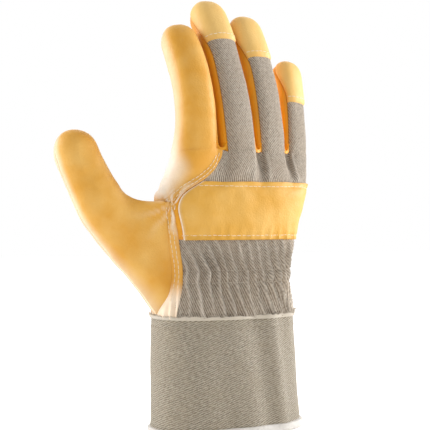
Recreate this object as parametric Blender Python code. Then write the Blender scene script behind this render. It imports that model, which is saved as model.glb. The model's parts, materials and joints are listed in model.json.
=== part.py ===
"""Right-hand leather and twill gauntlet glove, standing on its cuff with the fingers up.

Metres, +Z up the fingers. The back of the hand faces -Y, the palm +Y and the thumb -X.
Every panel starts as a flat slab in pattern space and is then wrapped onto the form of the hand, one digit or the
cuff. Pattern space is (across, along, out): an angle round the section in degrees, a distance along it, and a height
above the outer face of the glove. Angle 0 points at the thumb side, 90 at the back, 180 at the little finger side
and 270 at the palm.
"""

import math
from dataclasses import dataclass

import bmesh
import bpy
from mathutils import Vector

# Driving dimensions, from the hem up.
CUFF_CENTRE = (0.0214, -0.0028)
CUFF_HEIGHT = 0.0730
CUFF_HEM_HALF = (0.0492, 0.0280)
CUFF_TOP_HALF = (0.0462, 0.0270)
CUFF_TOP_SHIFT = -0.0024
HEM_HEIGHT = 0.0070
STRAP_BOTTOM = 0.1195
STRAP_TOP = 0.1555
ELASTIC_BOTTOM = 0.0925
ELASTIC_TOP = 0.1030
THUMB_NOTCH_TOP = 0.1430
KNUCKLE_HEIGHT = 0.1750

# Material thicknesses and the clearance that neighbouring pieces keep.
LEATHER = 0.0012
TWILL = 0.0009
CANVAS = 0.0010
LINING = 0.0008
GAP = 0.0003

# How round a section is: 2 is an ellipse, more is squarer.
ROUNDNESS = 2.5
# A finger's back panel runs between these angles, and its front panel between the mirrored ones.
BACK_FROM, BACK_TO = 38.0, 142.0
FRONT_FROM, FRONT_TO = 218.0, 322.0
# The seam down the little finger side of the glove.
OUTER_SEAM = 186.0
# The height below the knuckles over which the oval hand turns into four finger roots.
ROOTS_FROM = 0.1460

# The hand's sections: height, centre offset from the cuff's centre (x, y), half width, depth of back and of palm.
HAND_SECTIONS = (
    (0.0730, -0.0024, 0.0000, 0.0460, 0.0265, 0.0265),
    (0.0970, -0.0010, 0.0000, 0.0415, 0.0225, 0.0230),
    (0.1200, 0.0005, 0.0005, 0.0455, 0.0200, 0.0215),
    (0.1430, 0.0025, 0.0010, 0.0500, 0.0185, 0.0195),
    (0.1580, 0.0090, 0.0025, 0.0490, 0.0170, 0.0165),
    (0.1750, 0.0138, 0.0045, 0.0478, 0.0150, 0.0140),
)


@dataclass
class Finger:
    name: str
    root: tuple  # x and y of the root's centre, from the cuff's centre
    half_width: float
    half_depth: float
    length: float
    lean: float  # sideways run for each unit of height
    curl: float  # degrees that the finger turns towards the palm from root to tip
    roll: float  # degrees that its back is turned away from the thumb
    cap_from: float  # where the leather tip cap starts
    bow: tuple = (0.0, 0.0)  # how far x and y stand off a plain arc halfway up
    taper: float = 0.10
    start_bend: float = 3.0


INDEX = Finger("index", (-0.0205, -0.0015), 0.0129, 0.0116, 0.0835, -0.070, 27.0, -10.0, 0.0, (0.0010, -0.0035))
MIDDLE = Finger("middle", (0.0057, -0.0030), 0.0123, 0.0114, 0.1030, -0.085, 33.0, 2.0, 0.0700, (0.0006, 0.0))
RING = Finger("ring", (0.0305, 0.0034), 0.0119, 0.0108, 0.0930, -0.072, 27.0, 12.0, 0.0600, (0.0008, -0.0008))
LITTLE = Finger("little", (0.0526, 0.0125), 0.0104, 0.0098, 0.0625, 0.040, 18.0, 20.0, 0.0320)
FINGERS = (INDEX, MIDDLE, RING, LITTLE)

# The thumb stands out of a notch in the thumb side of the palm leather.
THUMB_RING = Vector((-0.0820, 0.0100, 0.1445))
THUMB_TIP = Vector((-0.0985, 0.0150, 0.1865))
THUMB_LEAN = Vector((-0.50, 0.08, 0.86)).normalized()
THUMB_ROOT_HALF = (0.0152, 0.0135)
THUMB_TIP_HALF = (0.0122, 0.0112)
THUMB_LENGTH = 0.1060
THUMB_ROOT_LENGTH = 0.0560
THUMB_HINGE = (-0.0305, 0.0195)

ACROSS_STEP = 0.5  # degrees, for measuring a slope
ALONG_STEP = 0.0004

COLOURS = {
    "leather": (0.72, 0.39, 0.09, 1.0),
    "twill": (0.37, 0.30, 0.24, 1.0),
    "canvas": (0.37, 0.32, 0.25, 1.0),
    "lining": (0.62, 0.58, 0.50, 1.0),
    "binding": (0.62, 0.60, 0.57, 1.0),
    "elastic": (0.70, 0.68, 0.64, 1.0),
}


def clear_scene():
    for obj in list(bpy.data.objects):
        bpy.data.objects.remove(obj, do_unlink=True)


def eased(t):
    """0 to 1 with level ends."""
    t = min(max(t, 0.0), 1.0)
    return t * t * (3.0 - 2.0 * t)


def power(value, exponent):
    """A signed power."""
    return math.copysign(abs(value) ** exponent, value)


def oval(angle, half_width, back, palm):
    """A point of a rounded oval section, as (x, y)."""
    c, s = math.cos(math.radians(angle)), math.sin(math.radians(angle))
    depth = back if s > 0 else palm
    return -half_width * power(c, 2.0 / ROUNDNESS), -depth * power(s, 2.0 / ROUNDNESS)


def between_sections(z):
    """The hand's section at a height, on a smooth curve through the sections."""
    rows = HAND_SECTIONS
    z = min(max(z, rows[0][0]), rows[-1][0])
    i = max(k for k in range(len(rows) - 1) if rows[k][0] <= z)
    low, high = rows[i], rows[i + 1]
    before, after = rows[max(i - 1, 0)], rows[min(i + 2, len(rows) - 1)]
    span = high[0] - low[0]
    t = (z - low[0]) / span
    found = []
    for k in range(1, len(low)):
        slope_low = (high[k] - before[k]) / (high[0] - before[0]) * span
        slope_high = (after[k] - low[k]) / (after[0] - low[0]) * span
        found.append(
            low[k] * (2 * t**3 - 3 * t**2 + 1)
            + slope_low * (t**3 - 2 * t**2 + t)
            + high[k] * (3 * t**2 - 2 * t**3)
            + slope_high * (t**3 - t**2)
        )
    return found


def from_cuff_centre(x, y, z):
    return Vector((CUFF_CENTRE[0] + x, CUFF_CENTRE[1] + y, z))


def finger_axis(finger, along):
    """The centre of a finger's section and its axes: towards the little finger, towards the palm, towards the tip."""
    start = math.radians(finger.start_bend)
    bend = math.radians(finger.curl) / finger.length
    if along < 0:
        turned = start
        forward, up = along * math.sin(start), along * math.cos(start)
    else:
        turned = start + bend * along
        forward = (math.cos(start) - math.cos(turned)) / bend
        up = (math.sin(turned) - math.sin(start)) / bend
    root = from_cuff_centre(finger.root[0], finger.root[1], KNUCKLE_HEIGHT)
    bow = math.sin(math.pi * min(max(along / finger.length, 0.0), 1.0)) ** 1.5
    centre = root + Vector((finger.lean * up + finger.bow[0] * bow, forward + finger.bow[1] * bow, up))
    tip_ward = Vector((finger.lean * math.cos(turned), math.sin(turned), math.cos(turned))).normalized()
    side = (Vector((1, 0, 0)) - tip_ward * tip_ward.x).normalized()
    palm = tip_ward.cross(side)
    roll = math.radians(finger.roll)
    rolled_side = side * math.cos(roll) + palm * math.sin(roll)
    rolled_palm = palm * math.cos(roll) - side * math.sin(roll)
    return centre, rolled_side, rolled_palm


def finger_surface(finger, angle, along):
    """A point of a finger's outer face. The last half width of its length is the rounded tip."""
    round_from = finger.length - finger.half_width
    shrink, at = 1.0, along
    if along > round_from:
        turn = min((along - round_from) / finger.half_width, 1.0) * math.pi / 2
        at = round_from + finger.half_width * math.sin(turn)
        shrink = max(math.cos(turn), 0.0) ** 0.7
    centre, side, palm = finger_axis(finger, at)
    size = (1.0 - finger.taper * max(along, 0.0) / finger.length) * shrink
    x, y = oval(angle, finger.half_width * size, finger.half_depth * size, finger.half_depth * size)
    return centre + side * x + palm * y


def hand_angle_of(x):
    """The angle round the back of the topmost hand section at which the section passes x."""
    _, centre, _, half_width, _, _ = HAND_SECTIONS[-1]
    share = (x - centre) / half_width
    share = min(max(share, -1.0), 1.0)
    return math.degrees(math.acos(-power(share, ROUNDNESS / 2.0)))


def root_marks():
    """Where each finger's panels start round the hand: (hand angle, finger, finger angle), thumb side first."""
    marks = [(0.0, INDEX, 0.0)]
    for finger in FINGERS:
        for angle in (BACK_FROM, BACK_TO):
            edge = finger_surface(finger, angle, 0.0)
            marks.append((hand_angle_of(edge.x - CUFF_CENTRE[0]), finger, angle))
    marks.append((180.0, LITTLE, 180.0))
    for finger in reversed(FINGERS):
        for angle in (FRONT_FROM, FRONT_TO):
            edge = finger_surface(finger, angle, 0.0)
            marks.append((360.0 - hand_angle_of(edge.x - CUFF_CENTRE[0]), finger, angle))
    marks.append((360.0, INDEX, 360.0))
    return marks


MARKS = root_marks()


def root_surface(angle, z):
    """A point of the four finger roots carried straight down below the knuckles, bridged across the crotches."""
    angle %= 360.0
    k = max(i for i in range(len(MARKS) - 1) if MARKS[i][0] <= angle)
    (low, finger, at_low), (high, next_finger, at_high) = MARKS[k], MARKS[k + 1]
    t = (angle - low) / max(high - low, 1e-6)
    along = z - KNUCKLE_HEIGHT
    if finger is next_finger:
        return finger_surface(finger, at_low + (at_high - at_low) * t, along)
    return finger_surface(finger, at_low, along).lerp(finger_surface(next_finger, at_high, along), t)


def hand_surface(angle, z):
    """A point of the hand's outer face, from the cuff seam up to the knuckles."""
    x, y, half_width, back, palm = between_sections(z)
    across, deep = oval(angle, half_width, back, palm)
    plain = from_cuff_centre(x + across, y + deep, z)
    share = eased((z - ROOTS_FROM) / (KNUCKLE_HEIGHT - ROOTS_FROM))
    return plain.lerp(root_surface(angle, z), share) if share > 0 else plain


def cuff_surface(angle, z):
    """A point of the cuff's outer face."""
    t = z / CUFF_HEIGHT
    half_width = CUFF_HEM_HALF[0] + (CUFF_TOP_HALF[0] - CUFF_HEM_HALF[0]) * t
    depth = CUFF_HEM_HALF[1] + (CUFF_TOP_HALF[1] - CUFF_HEM_HALF[1]) * t
    across, deep = oval(angle, half_width, depth, depth)
    return from_cuff_centre(CUFF_TOP_SHIFT * t + across, deep, z)


def notch_edges(z):
    """The hand angles of the thumb notch's two edges at a height: palm side and back side. It is a V at the cuff."""
    t = min(max((z - CUFF_HEIGHT) / (THUMB_NOTCH_TOP - CUFF_HEIGHT), 0.0), 1.0)
    palm_edge = -(4.0 + 54.0 * math.sin(2.3 * t))
    back_edge = 4.0 + 14.0 * eased(t / 0.22) + 12.0 * t**4
    return palm_edge, back_edge


def leather_edge(z):
    """The hand angle where the wrapped palm leather ends on the back: upright, then slanting to the first crotch."""
    slant = eased((z - 0.136) / (KNUCKLE_HEIGHT - 0.136))
    first_crotch = (MARKS[2][0] + MARKS[3][0]) / 2
    return 36.0 + (first_crotch - 36.0) * slant


# Places round the thumb's root, as shares of the way: up the back edge, over the top, down the palm edge.
BACK_EDGE_SHARE, TOP_SHARE, PALM_EDGE_SHARE = 0.38, 0.56, 0.94


def thumb_root(share):
    """A point of the notch's outline, starting at the cuff on the back edge."""
    low, high = CUFF_HEIGHT + 0.0015, THUMB_NOTCH_TOP
    share %= 1.0
    if share < BACK_EDGE_SHARE:
        z = low + (high - low) * share / BACK_EDGE_SHARE
        return hand_surface(notch_edges(z)[1], z)
    if share < TOP_SHARE:
        t = (share - BACK_EDGE_SHARE) / (TOP_SHARE - BACK_EDGE_SHARE)
        palm_edge, back_edge = notch_edges(high)
        return hand_surface(back_edge + (palm_edge - back_edge) * t, high)
    if share < PALM_EDGE_SHARE:
        z = high + (low - high) * (share - TOP_SHARE) / (PALM_EDGE_SHARE - TOP_SHARE)
        return hand_surface(notch_edges(z)[0], z)
    t = (share - PALM_EDGE_SHARE) / (1.0 - PALM_EDGE_SHARE)
    palm_edge, back_edge = notch_edges(low)
    return hand_surface(palm_edge + (back_edge - palm_edge) * t, low)


# The thumb's angle for each of those places: -90 is its back, 0 faces the index finger and 90 is the palm side.
THUMB_TURNS = ((-0.04, -180.0), (0.20, -90.0), (0.47, 0.0), (0.75, 90.0), (0.96, 180.0))


def thumb_turn(share):
    share = share - 1.0 if share > THUMB_TURNS[-1][0] else share
    k = max(i for i in range(len(THUMB_TURNS) - 1) if THUMB_TURNS[i][0] <= share + 1e-9)
    (low, at_low), (high, at_high) = THUMB_TURNS[k], THUMB_TURNS[k + 1]
    return at_low + (at_high - at_low) * (share - low) / (high - low)


def thumb_ring(share, along):
    """A point of the free thumb's tube, along measured from its first full ring."""
    free = THUMB_LENGTH - THUMB_ROOT_LENGTH
    tip_radius = THUMB_TIP_HALF[0]
    shrink, at = 1.0, along
    if along > free - tip_radius:
        turn = min((along - free + tip_radius) / tip_radius, 1.0) * math.pi / 2
        at = free - tip_radius + tip_radius * math.sin(turn)
        shrink = max(math.cos(turn), 0.0) ** 0.7
    t = at / free
    first = from_cuff_centre(*THUMB_RING)
    last = from_cuff_centre(*THUMB_TIP)
    handle = first + THUMB_LEAN * free * 0.5
    centre = first.lerp(handle, t).lerp(handle.lerp(last, t), t)
    ahead = (handle - first).lerp(last - handle, t).normalized()
    palm = (Vector((0, 1, 0)) - ahead * ahead.y).normalized()
    inner = palm.cross(ahead)
    size = min(max(along / free, 0.0), 1.0)
    half_width = (THUMB_ROOT_HALF[0] + (THUMB_TIP_HALF[0] - THUMB_ROOT_HALF[0]) * size) * shrink
    half_depth = (THUMB_ROOT_HALF[1] + (THUMB_TIP_HALF[1] - THUMB_ROOT_HALF[1]) * size) * shrink
    turn = math.radians(thumb_turn(share))
    across = half_width * power(math.cos(turn), 2.0 / 2.2)
    deep = half_depth * power(math.sin(turn), 2.0 / 2.2)
    return centre + inner * across + palm * deep


def thumb_surface(share, along):
    """A point of the thumb's outer face: a swept web from the notch to the first full ring, then the tube."""
    if along >= THUMB_ROOT_LENGTH:
        return thumb_ring(share, along - THUMB_ROOT_LENGTH)
    t = max(along, 0.0) / THUMB_ROOT_LENGTH
    start, end = thumb_root(share), thumb_ring(share, 0.0)
    facing = math.cos(math.radians(thumb_turn(share)))  # 1 at the web, -1 at the outer edge
    reach = (end - start).length
    leave = Vector((-1.0, 0.0, 0.0)).lerp(THUMB_LEAN, 0.5 - 0.5 * facing).normalized() * reach * 0.9
    arrive = THUMB_LEAN * reach * 1.0
    return (
        start * (2 * t**3 - 3 * t**2 + 1)
        + leave * (t**3 - 2 * t**2 + t)
        + end * (3 * t**2 - 2 * t**3)
        + arrive * (t**3 - t**2)
    )


def lifted(surface, across, along, out, across_step=ACROSS_STEP):
    """The point that stands out from a surface by out, along its normal there."""
    run = surface(across + across_step, along) - surface(across - across_step, along)
    rise = surface(across, along + ALONG_STEP) - surface(across, along - ALONG_STEP)
    return surface(across, along) + run.cross(rise).normalized() * out


def material(name):
    found = bpy.data.materials.get(name)
    if found:
        return found
    found = bpy.data.materials.new(name)
    found.use_nodes = True
    shader = found.node_tree.nodes["Principled BSDF"]
    shader.inputs["Base Color"].default_value = COLOURS[name]
    shader.inputs["Roughness"].default_value = 0.55 if name == "leather" else 0.9
    shader.inputs["Metallic"].default_value = 0.0
    return found


def finish(name, bm, finish_name):
    """Turns a closed bmesh into the named object."""
    bmesh.ops.recalc_face_normals(bm, faces=bm.faces)
    if bm.calc_volume(signed=True) < 0:
        bmesh.ops.reverse_faces(bm, faces=bm.faces)
    mesh = bpy.data.meshes.new(name)
    bm.to_mesh(mesh)
    bm.free()
    mesh.shade_smooth()
    mesh.set_sharp_from_angle(angle=math.radians(40))
    mesh.materials.append(material(finish_name))
    obj = bpy.data.objects.new(name, mesh)
    bpy.context.scene.collection.objects.link(obj)
    return obj


def slab(columns, rows, thickness, keep=lambda column, row: True):
    """A flat slab in pattern space: unit squares, its top face at height 0. keep picks the squares that stay."""
    bm = bmesh.new()
    bmesh.ops.create_grid(bm, x_segments=columns, y_segments=rows, size=0.5)
    for vert in bm.verts:
        vert.co.x = (vert.co.x + 0.5) * columns
        vert.co.y = (vert.co.y + 0.5) * rows
    cut = [f for f in bm.faces if not keep(*(int(k) for k in f.calc_center_median().xy))]
    bmesh.ops.delete(bm, geom=cut, context="FACES")
    top = list(bm.faces)
    made = bmesh.ops.extrude_face_region(bm, geom=top, use_keep_orig=True)
    lower = [v for v in made["geom"] if isinstance(v, bmesh.types.BMVert)]
    bmesh.ops.translate(bm, verts=lower, vec=(0, 0, -thickness))
    return bm


def panel(name, finish_name, surface, columns, rows, place, out, thickness, keep=None, across_step=ACROSS_STEP):
    """A panel of a surface. place turns (column share, row share) into (across, along) on that surface."""
    bm = slab(columns, rows, thickness, keep or (lambda column, row: True))
    for vert in bm.verts:
        across, along = place(vert.co.x / columns, vert.co.y / rows)
        vert.co = lifted(surface, across, along, out + vert.co.z, across_step)
    return finish(name, bm, finish_name)


def hoop(name, finish_name, profile, segments, surface):
    """A closed ring: a profile of (height, out) points swept once round a surface."""
    bm = bmesh.new()
    rings = []
    for k in range(segments):
        angle = 360.0 * k / segments
        rings.append([bm.verts.new(lifted(surface, angle, z, out)) for z, out in profile])
    count = len(profile)
    for k, ring in enumerate(rings):
        following = rings[(k + 1) % segments]
        for i in range(count):
            j = (i + 1) % count
            bm.faces.new((ring[i], following[i], following[j], ring[j]))
    return finish(name, bm, finish_name)


def level(bm_object, z, within):
    """Makes the verts that are near a height lie on it, so that a foot is flat."""
    for vert in bm_object.data.vertices:
        if abs(vert.co.z - z) < within:
            vert.co.z = z


def tapered(low, high, finger, from_share=0.80):
    """A side strip's angles at a place: it narrows to a point between the front and back panels at the fingertip."""
    middle = (low + high) / 2

    def angles(share, along):
        t = eased((along / finger.length - from_share) / (0.97 - from_share))
        half = (high - low) / 2 * (1.0 - 0.75 * t)
        return middle + half * (2.0 * share - 1.0)

    return angles


def finger_ranges(finger):
    """The angle edges of a finger's four strips at a place along it: thumb side, back, outer side and front."""

    def strip(low, high):
        return tapered(low, high, finger)

    sides = {"thumb_side": strip(-BACK_FROM, BACK_FROM), "outer_side": strip(BACK_TO, FRONT_FROM)}

    def back(share, along):
        low = sides["thumb_side"](1.0, along)
        high = sides["outer_side"](0.0, along)
        return low + (high - low) * share

    def front(share, along):
        low = sides["outer_side"](1.0, along)
        high = sides["thumb_side"](0.0, along) + 360.0
        return low + (high - low) * share

    return sides["thumb_side"], back, sides["outer_side"], front


def on_finger(finger, angles, first, last, trim_low=0.0, trim_high=0.0, closing=0.0):
    """A place function for a strip of a finger, trimmed by degrees at its edges. closing crowds the rows at last."""

    def place(column, row):
        along = first + (last - first) * row * (1.0 + closing * (1.0 - row))
        low, high = angles(0.0, along) + trim_low, angles(1.0, along) - trim_high
        return low + (high - low) * column, along

    return place


TRIM = 1.0  # degrees of a finger's section that keep two strips apart
CLOSING = 0.75  # how much the rows of a finger panel crowd towards its tip
TIP_OPEN = 0.0005  # a panel stops this far short of the very tip
HAND_TOP = KNUCKLE_HEIGHT - 0.0012  # where the hand's own panels end, below the finger roots


def build_finger(finger):
    """A finger's panels: front leather, back twill with its leather cap, two side strips and the lining."""

    def surface(angle, along):
        return finger_surface(finger, angle, along)

    thumb_side, back, outer_side, front = finger_ranges(finger)
    tip = finger.length - TIP_OPEN
    name = finger.name

    if finger is INDEX:

        def wrap(share, along):
            low, high = outer_side(1.0, along), outer_side(0.0, along) + 360.0
            return low + (high - low) * share

        panel("index_wrap_leather", "leather", surface, 16, 10,
              on_finger(finger, wrap, GAP, tip, TRIM, TRIM, CLOSING), 0.0, LEATHER)
    else:
        outer_end = OUTER_SEAM if finger is LITTLE else None

        def back_to(share, along):
            low, high = back(0.0, along), outer_end or back(1.0, along)
            return low + (high - low) * share

        def front_to(share, along):
            low, high = outer_end or front(0.0, along), front(1.0, along)
            return low + (high - low) * share

        columns = 7 if finger is LITTLE else 5
        lap = 0.005
        panel(f"{name}_back_twill", "twill", surface, columns, 7,
              on_finger(finger, back_to, GAP, finger.cap_from + lap, TRIM, TRIM), 0.0, TWILL)
        panel(f"{name}_tip_cap", "leather", surface, columns, 5,
              on_finger(finger, back_to, finger.cap_from, tip, TRIM, TRIM, CLOSING), LEATHER + GAP, LEATHER)
        panel(f"{name}_front_leather", "leather", surface, columns, 10,
              on_finger(finger, front_to, GAP, tip, TRIM, TRIM, CLOSING), 0.0, LEATHER)
        panel(f"{name}_thumb_side_fourchette", "leather", surface, 3, 10,
              on_finger(finger, thumb_side, GAP, tip, TRIM, TRIM, CLOSING), 0.0, LEATHER)
    if finger is not LITTLE:
        panel(f"{name}_outer_side_fourchette", "leather", surface, 3, 10,
              on_finger(finger, outer_side, GAP, tip, TRIM, TRIM, CLOSING), 0.0, LEATHER)
    panel(f"{name}_lining", "lining", surface, 4, 6,
          on_finger(finger, front, 0.001, finger.length - 0.012, 4.0, 4.0), -LEATHER - 2 * GAP, LINING)


def build_thumb():
    """The thumb's back and front leathers, which meet on its inner and outer edges, and its lining."""
    trim = 0.004
    inner, outer = 0.47, 0.96

    def strip(low, high, first, last):
        def place(column, row):
            return low + (high - low) * column, first + (last - first) * row

        return place

    def surface(share, along):
        return thumb_surface(share, along)

    tip = THUMB_LENGTH - TIP_OPEN
    share_step = 0.002
    panel("thumb_back_leather", "leather", surface, 9, 13,
          strip(outer - 1.0 + trim, inner - trim, 0.0016, tip), 0.0, LEATHER, across_step=share_step)
    panel("thumb_front_leather", "leather", surface, 9, 13,
          strip(inner + trim, outer - trim, 0.0016, tip), 0.0, LEATHER, across_step=share_step)
    panel("thumb_lining", "lining", surface, 5, 7,
          strip(inner + 0.05, outer - 0.05, 0.008, THUMB_LENGTH - 0.013),
          -LEATHER - 3 * GAP, LINING, across_step=share_step)


LOW_ROWS, HIGH_ROWS = 8, 5  # the palm's rows up to the top of the notch, and from there to the knuckles


def palm_height(row):
    """The height of a share of the palm's rows."""
    step = row * (LOW_ROWS + HIGH_ROWS)
    bottom = CUFF_HEIGHT + 0.0010
    if step <= LOW_ROWS:
        return bottom + (THUMB_NOTCH_TOP - bottom) * step / LOW_ROWS
    return THUMB_NOTCH_TOP + (HAND_TOP - THUMB_NOTCH_TOP) * (step - LOW_ROWS) / HIGH_ROWS


def build_palm_leather():
    """The palm leather wraps round the thumb side onto the back, with the open notch for the thumb."""
    palm_columns, notch_columns, strip_columns = 16, 5, 4
    columns = palm_columns + notch_columns + strip_columns

    def place(column, row):
        z = palm_height(row)
        palm_edge, back_edge = notch_edges(z)
        marks = (OUTER_SEAM + 1.0, 360.0 + palm_edge, 360.0 + back_edge, 360.0 + leather_edge(z) - 1.0)
        at = column * columns
        if at <= palm_columns:
            t, low, high = at / palm_columns, marks[0], marks[1]
        elif at <= palm_columns + notch_columns:
            t, low, high = (at - palm_columns) / notch_columns, marks[1], marks[2]
        else:
            t, low, high = (at - palm_columns - notch_columns) / strip_columns, marks[2], marks[3]
        return low + (high - low) * t, z

    def keep(column, row):
        in_notch = palm_columns <= column < palm_columns + notch_columns
        return not (in_notch and row < LOW_ROWS)

    panel("palm_leather", "leather", hand_surface, columns, LOW_ROWS + HIGH_ROWS, place, 0.0, LEATHER, keep)


def on_hand(first_angle, last_angle, bottom, top):
    """A place function for a panel of the hand. Each edge angle is a number or a function of height."""

    def edge(value, z):
        return value(z) if callable(value) else value

    def place(column, row):
        z = bottom + (top - bottom) * row
        low, high = edge(first_angle, z), edge(last_angle, z)
        return low + (high - low) * column, z

    return place


def build_back():
    """The twill back in two panels, which meet under the leather knuckle strap, and the elastic inside."""
    under_strap = (STRAP_BOTTOM + STRAP_TOP) / 2

    def seam(z):
        return leather_edge(z) + 0.5

    panel("upper_back_twill", "twill", hand_surface, 20, 6,
          on_hand(seam, OUTER_SEAM, under_strap + GAP, HAND_TOP), 0.0, TWILL)
    panel("lower_back_twill", "twill", hand_surface, 16, 7,
          on_hand(seam, OUTER_SEAM, CUFF_HEIGHT + 0.001, under_strap), 0.0, TWILL)
    panel("knuckle_strap", "leather", hand_surface, 20, 4,
          on_hand(seam, OUTER_SEAM, STRAP_BOTTOM, STRAP_TOP), LEATHER + 3 * GAP, LEATHER)
    panel("wrist_elastic", "elastic", hand_surface, 12, 1,
          on_hand(44.0, OUTER_SEAM - 6.0, ELASTIC_BOTTOM, ELASTIC_TOP), -TWILL - 2 * GAP, 0.0012)


def build_palm_inside():
    """The cotton lining behind the palm leather, and the leather patch over the pulse."""

    def beside_leather(column, row):
        z = min(palm_height(row), HAND_TOP - 0.0030)
        low, high = OUTER_SEAM + 6.0, 354.0 + notch_edges(z)[0]
        return low + (high - low) * column, z

    panel("palm_lining", "lining", hand_surface, 16, LOW_ROWS + HIGH_ROWS, beside_leather,
          -LEATHER - 5 * GAP, LINING)
    panel("pulse_patch", "leather", hand_surface, 8, 3,
          on_hand(214.0, lambda z: 352.0 + notch_edges(z)[0], CUFF_HEIGHT + 0.0045, 0.106), LEATHER + GAP, LEATHER)


def build_crotches():
    """A folded leather tab closes each gap between two finger roots, just below the knuckle line."""
    for finger, following in zip(FINGERS, FINGERS[1:]):
        bm = slab(2, 3, LEATHER)
        for vert in bm.verts:
            depth = BACK_TO + 18.0 + (FRONT_FROM - BACK_TO - 40.0) * vert.co.y / 3
            near = finger_surface(finger, depth, 0.0)
            far = finger_surface(following, 180.0 - depth, 0.0)
            share = 0.10 + 0.80 * vert.co.x / 2
            vert.co = near.lerp(far, share) + Vector((0, 0, -GAP * 2 + vert.co.z))
        finish(f"crotch_tab_{finger.name}_{following.name}", bm, "leather")


def build_cuff():
    """The stiff gauntlet cuff: twill outside, laminated liner inside, bound hem and the folded seam at its top."""
    segments = 32
    top = CUFF_HEIGHT - 0.0005
    outer_face = ((0.0025, 0.0), (0.024, 0.0), (0.048, 0.0), (top, 0.0))
    inner_face = ((top, -CANVAS), (0.048, -CANVAS), (0.024, -CANVAS), (0.0025, -CANVAS))
    hoop("cuff_canvas", "canvas", outer_face + inner_face, segments, cuff_surface)
    liner_out = -CANVAS - GAP
    liner = ((0.0025, liner_out), (top, liner_out), (top, liner_out - 0.0009), (0.0025, liner_out - 0.0009))
    hoop("cuff_liner", "lining", liner, segments, cuff_surface)
    fold, channel = 0.0009, 0.0022
    inside = liner_out - 0.0009 - GAP
    binding = (
        (0.0, inside - fold), (0.0, fold + GAP), (HEM_HEIGHT, fold + GAP), (HEM_HEIGHT, GAP),
        (channel, GAP), (channel, inside), (HEM_HEIGHT, inside), (HEM_HEIGHT, inside - fold),
    )
    hem = hoop("cuff_hem_binding", "binding", binding, segments, cuff_surface)
    level(hem, 0.0, 0.0004)
    seam_low, seam_high = CUFF_HEIGHT - 0.0040, CUFF_HEIGHT - 0.0008
    band = ((seam_low, GAP), (seam_low, GAP + 0.0010), (seam_high, GAP + 0.0020), (seam_high, GAP))
    hoop("cuff_seam_band", "canvas", band, segments, cuff_surface)


def main():
    clear_scene()
    build_cuff()
    build_palm_leather()
    build_back()
    build_palm_inside()
    build_crotches()
    build_thumb()
    for finger in FINGERS:
        build_finger(finger)


main()
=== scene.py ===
"""Right-hand leather and twill gauntlet glove: its cloth, leather, stitching and stage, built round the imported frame.

Lengths are in metres. The glove stands on its hem: Z runs up the fingers, the back of the hand faces -Y, the palm +Y
and the thumb -X. A place on the form is (across, along). Across is an angle round the section in degrees, where 0 is
the thumb side, 90 the back, 180 the little finger side and 270 the palm. Along is a height, or a length from the root.
"""

import json
import math
from bisect import bisect_right
from collections import namedtuple
from functools import lru_cache, partial

import bmesh
import bpy
from bpy.props import FloatProperty, FloatVectorProperty, PointerProperty
from mathutils import Matrix, Vector, noise


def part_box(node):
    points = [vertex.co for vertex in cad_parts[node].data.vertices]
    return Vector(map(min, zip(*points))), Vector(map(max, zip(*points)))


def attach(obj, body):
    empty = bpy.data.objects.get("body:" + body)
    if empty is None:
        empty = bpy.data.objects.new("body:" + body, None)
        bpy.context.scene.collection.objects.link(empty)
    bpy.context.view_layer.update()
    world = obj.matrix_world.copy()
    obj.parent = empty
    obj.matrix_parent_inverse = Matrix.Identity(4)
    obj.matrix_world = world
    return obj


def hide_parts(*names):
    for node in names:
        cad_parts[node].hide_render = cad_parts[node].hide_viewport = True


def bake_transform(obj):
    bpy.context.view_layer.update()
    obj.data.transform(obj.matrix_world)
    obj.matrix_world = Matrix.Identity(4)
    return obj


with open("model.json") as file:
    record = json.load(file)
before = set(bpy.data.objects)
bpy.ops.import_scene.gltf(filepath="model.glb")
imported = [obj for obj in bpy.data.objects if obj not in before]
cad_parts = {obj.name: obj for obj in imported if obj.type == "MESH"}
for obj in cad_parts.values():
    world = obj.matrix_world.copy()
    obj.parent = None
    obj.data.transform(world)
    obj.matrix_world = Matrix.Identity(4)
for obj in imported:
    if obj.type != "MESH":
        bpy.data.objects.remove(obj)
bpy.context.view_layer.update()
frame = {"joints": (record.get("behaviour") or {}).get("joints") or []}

bl_info = {
    "name": "Gauntlet glove",
    "version": (1, 0, 0),
    "blender": (4, 5, 0),
    "location": "View3D > Sidebar > Glove",
    "description": "Dresses the jointed frame of a work glove in leather, twill, canvas and stitching",
    "category": "Object",
}

# Heights and the cuff's centre come from the frame.
HEM_LOW, HEM_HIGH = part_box("cuff_hem_binding")
CENTRE_X, CENTRE_Y = (HEM_LOW[0] + HEM_HIGH[0]) / 2, (HEM_LOW[1] + HEM_HIGH[1]) / 2
CUFF_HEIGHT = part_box("cuff_canvas")[1][2] + 0.0005
STRAP_BOTTOM, STRAP_TOP = 0.1195, 0.1555
STRAP_ROWS = (STRAP_BOTTOM + 0.0028, STRAP_TOP - 0.0030)
STRAP_LIFT, PATCH_LIFT, CAP_LIFT = 0.0014, 0.0013, 0.0009  # how far they stand off the form
LINING_LIFT, FINGER_LINING_LIFT = -0.0022, -0.0018
PATCH_TOP = 0.106
ELASTIC_ROWS = (0.0935, 0.1010)
KNUCKLE = next(j for j in frame["joints"] if j["name"] == "index_bend")["pos_m"][2]
NOTCH_TOP = 0.1430
CUFF_HEM_HALF, CUFF_TOP_HALF = (0.0492, 0.0280), (0.0462, 0.0270)
CUFF_TOP_SHIFT = -0.0024
LINER = 0.0009  # thickness of the cuff's liner and of its hem, which is the same cloth
BAND = 0.0020  # height of the frayed seam band at the cuff's top
TAB_ANGLE = 176.0  # where the band's end sticks out
YARN_ENDS = 330

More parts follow.
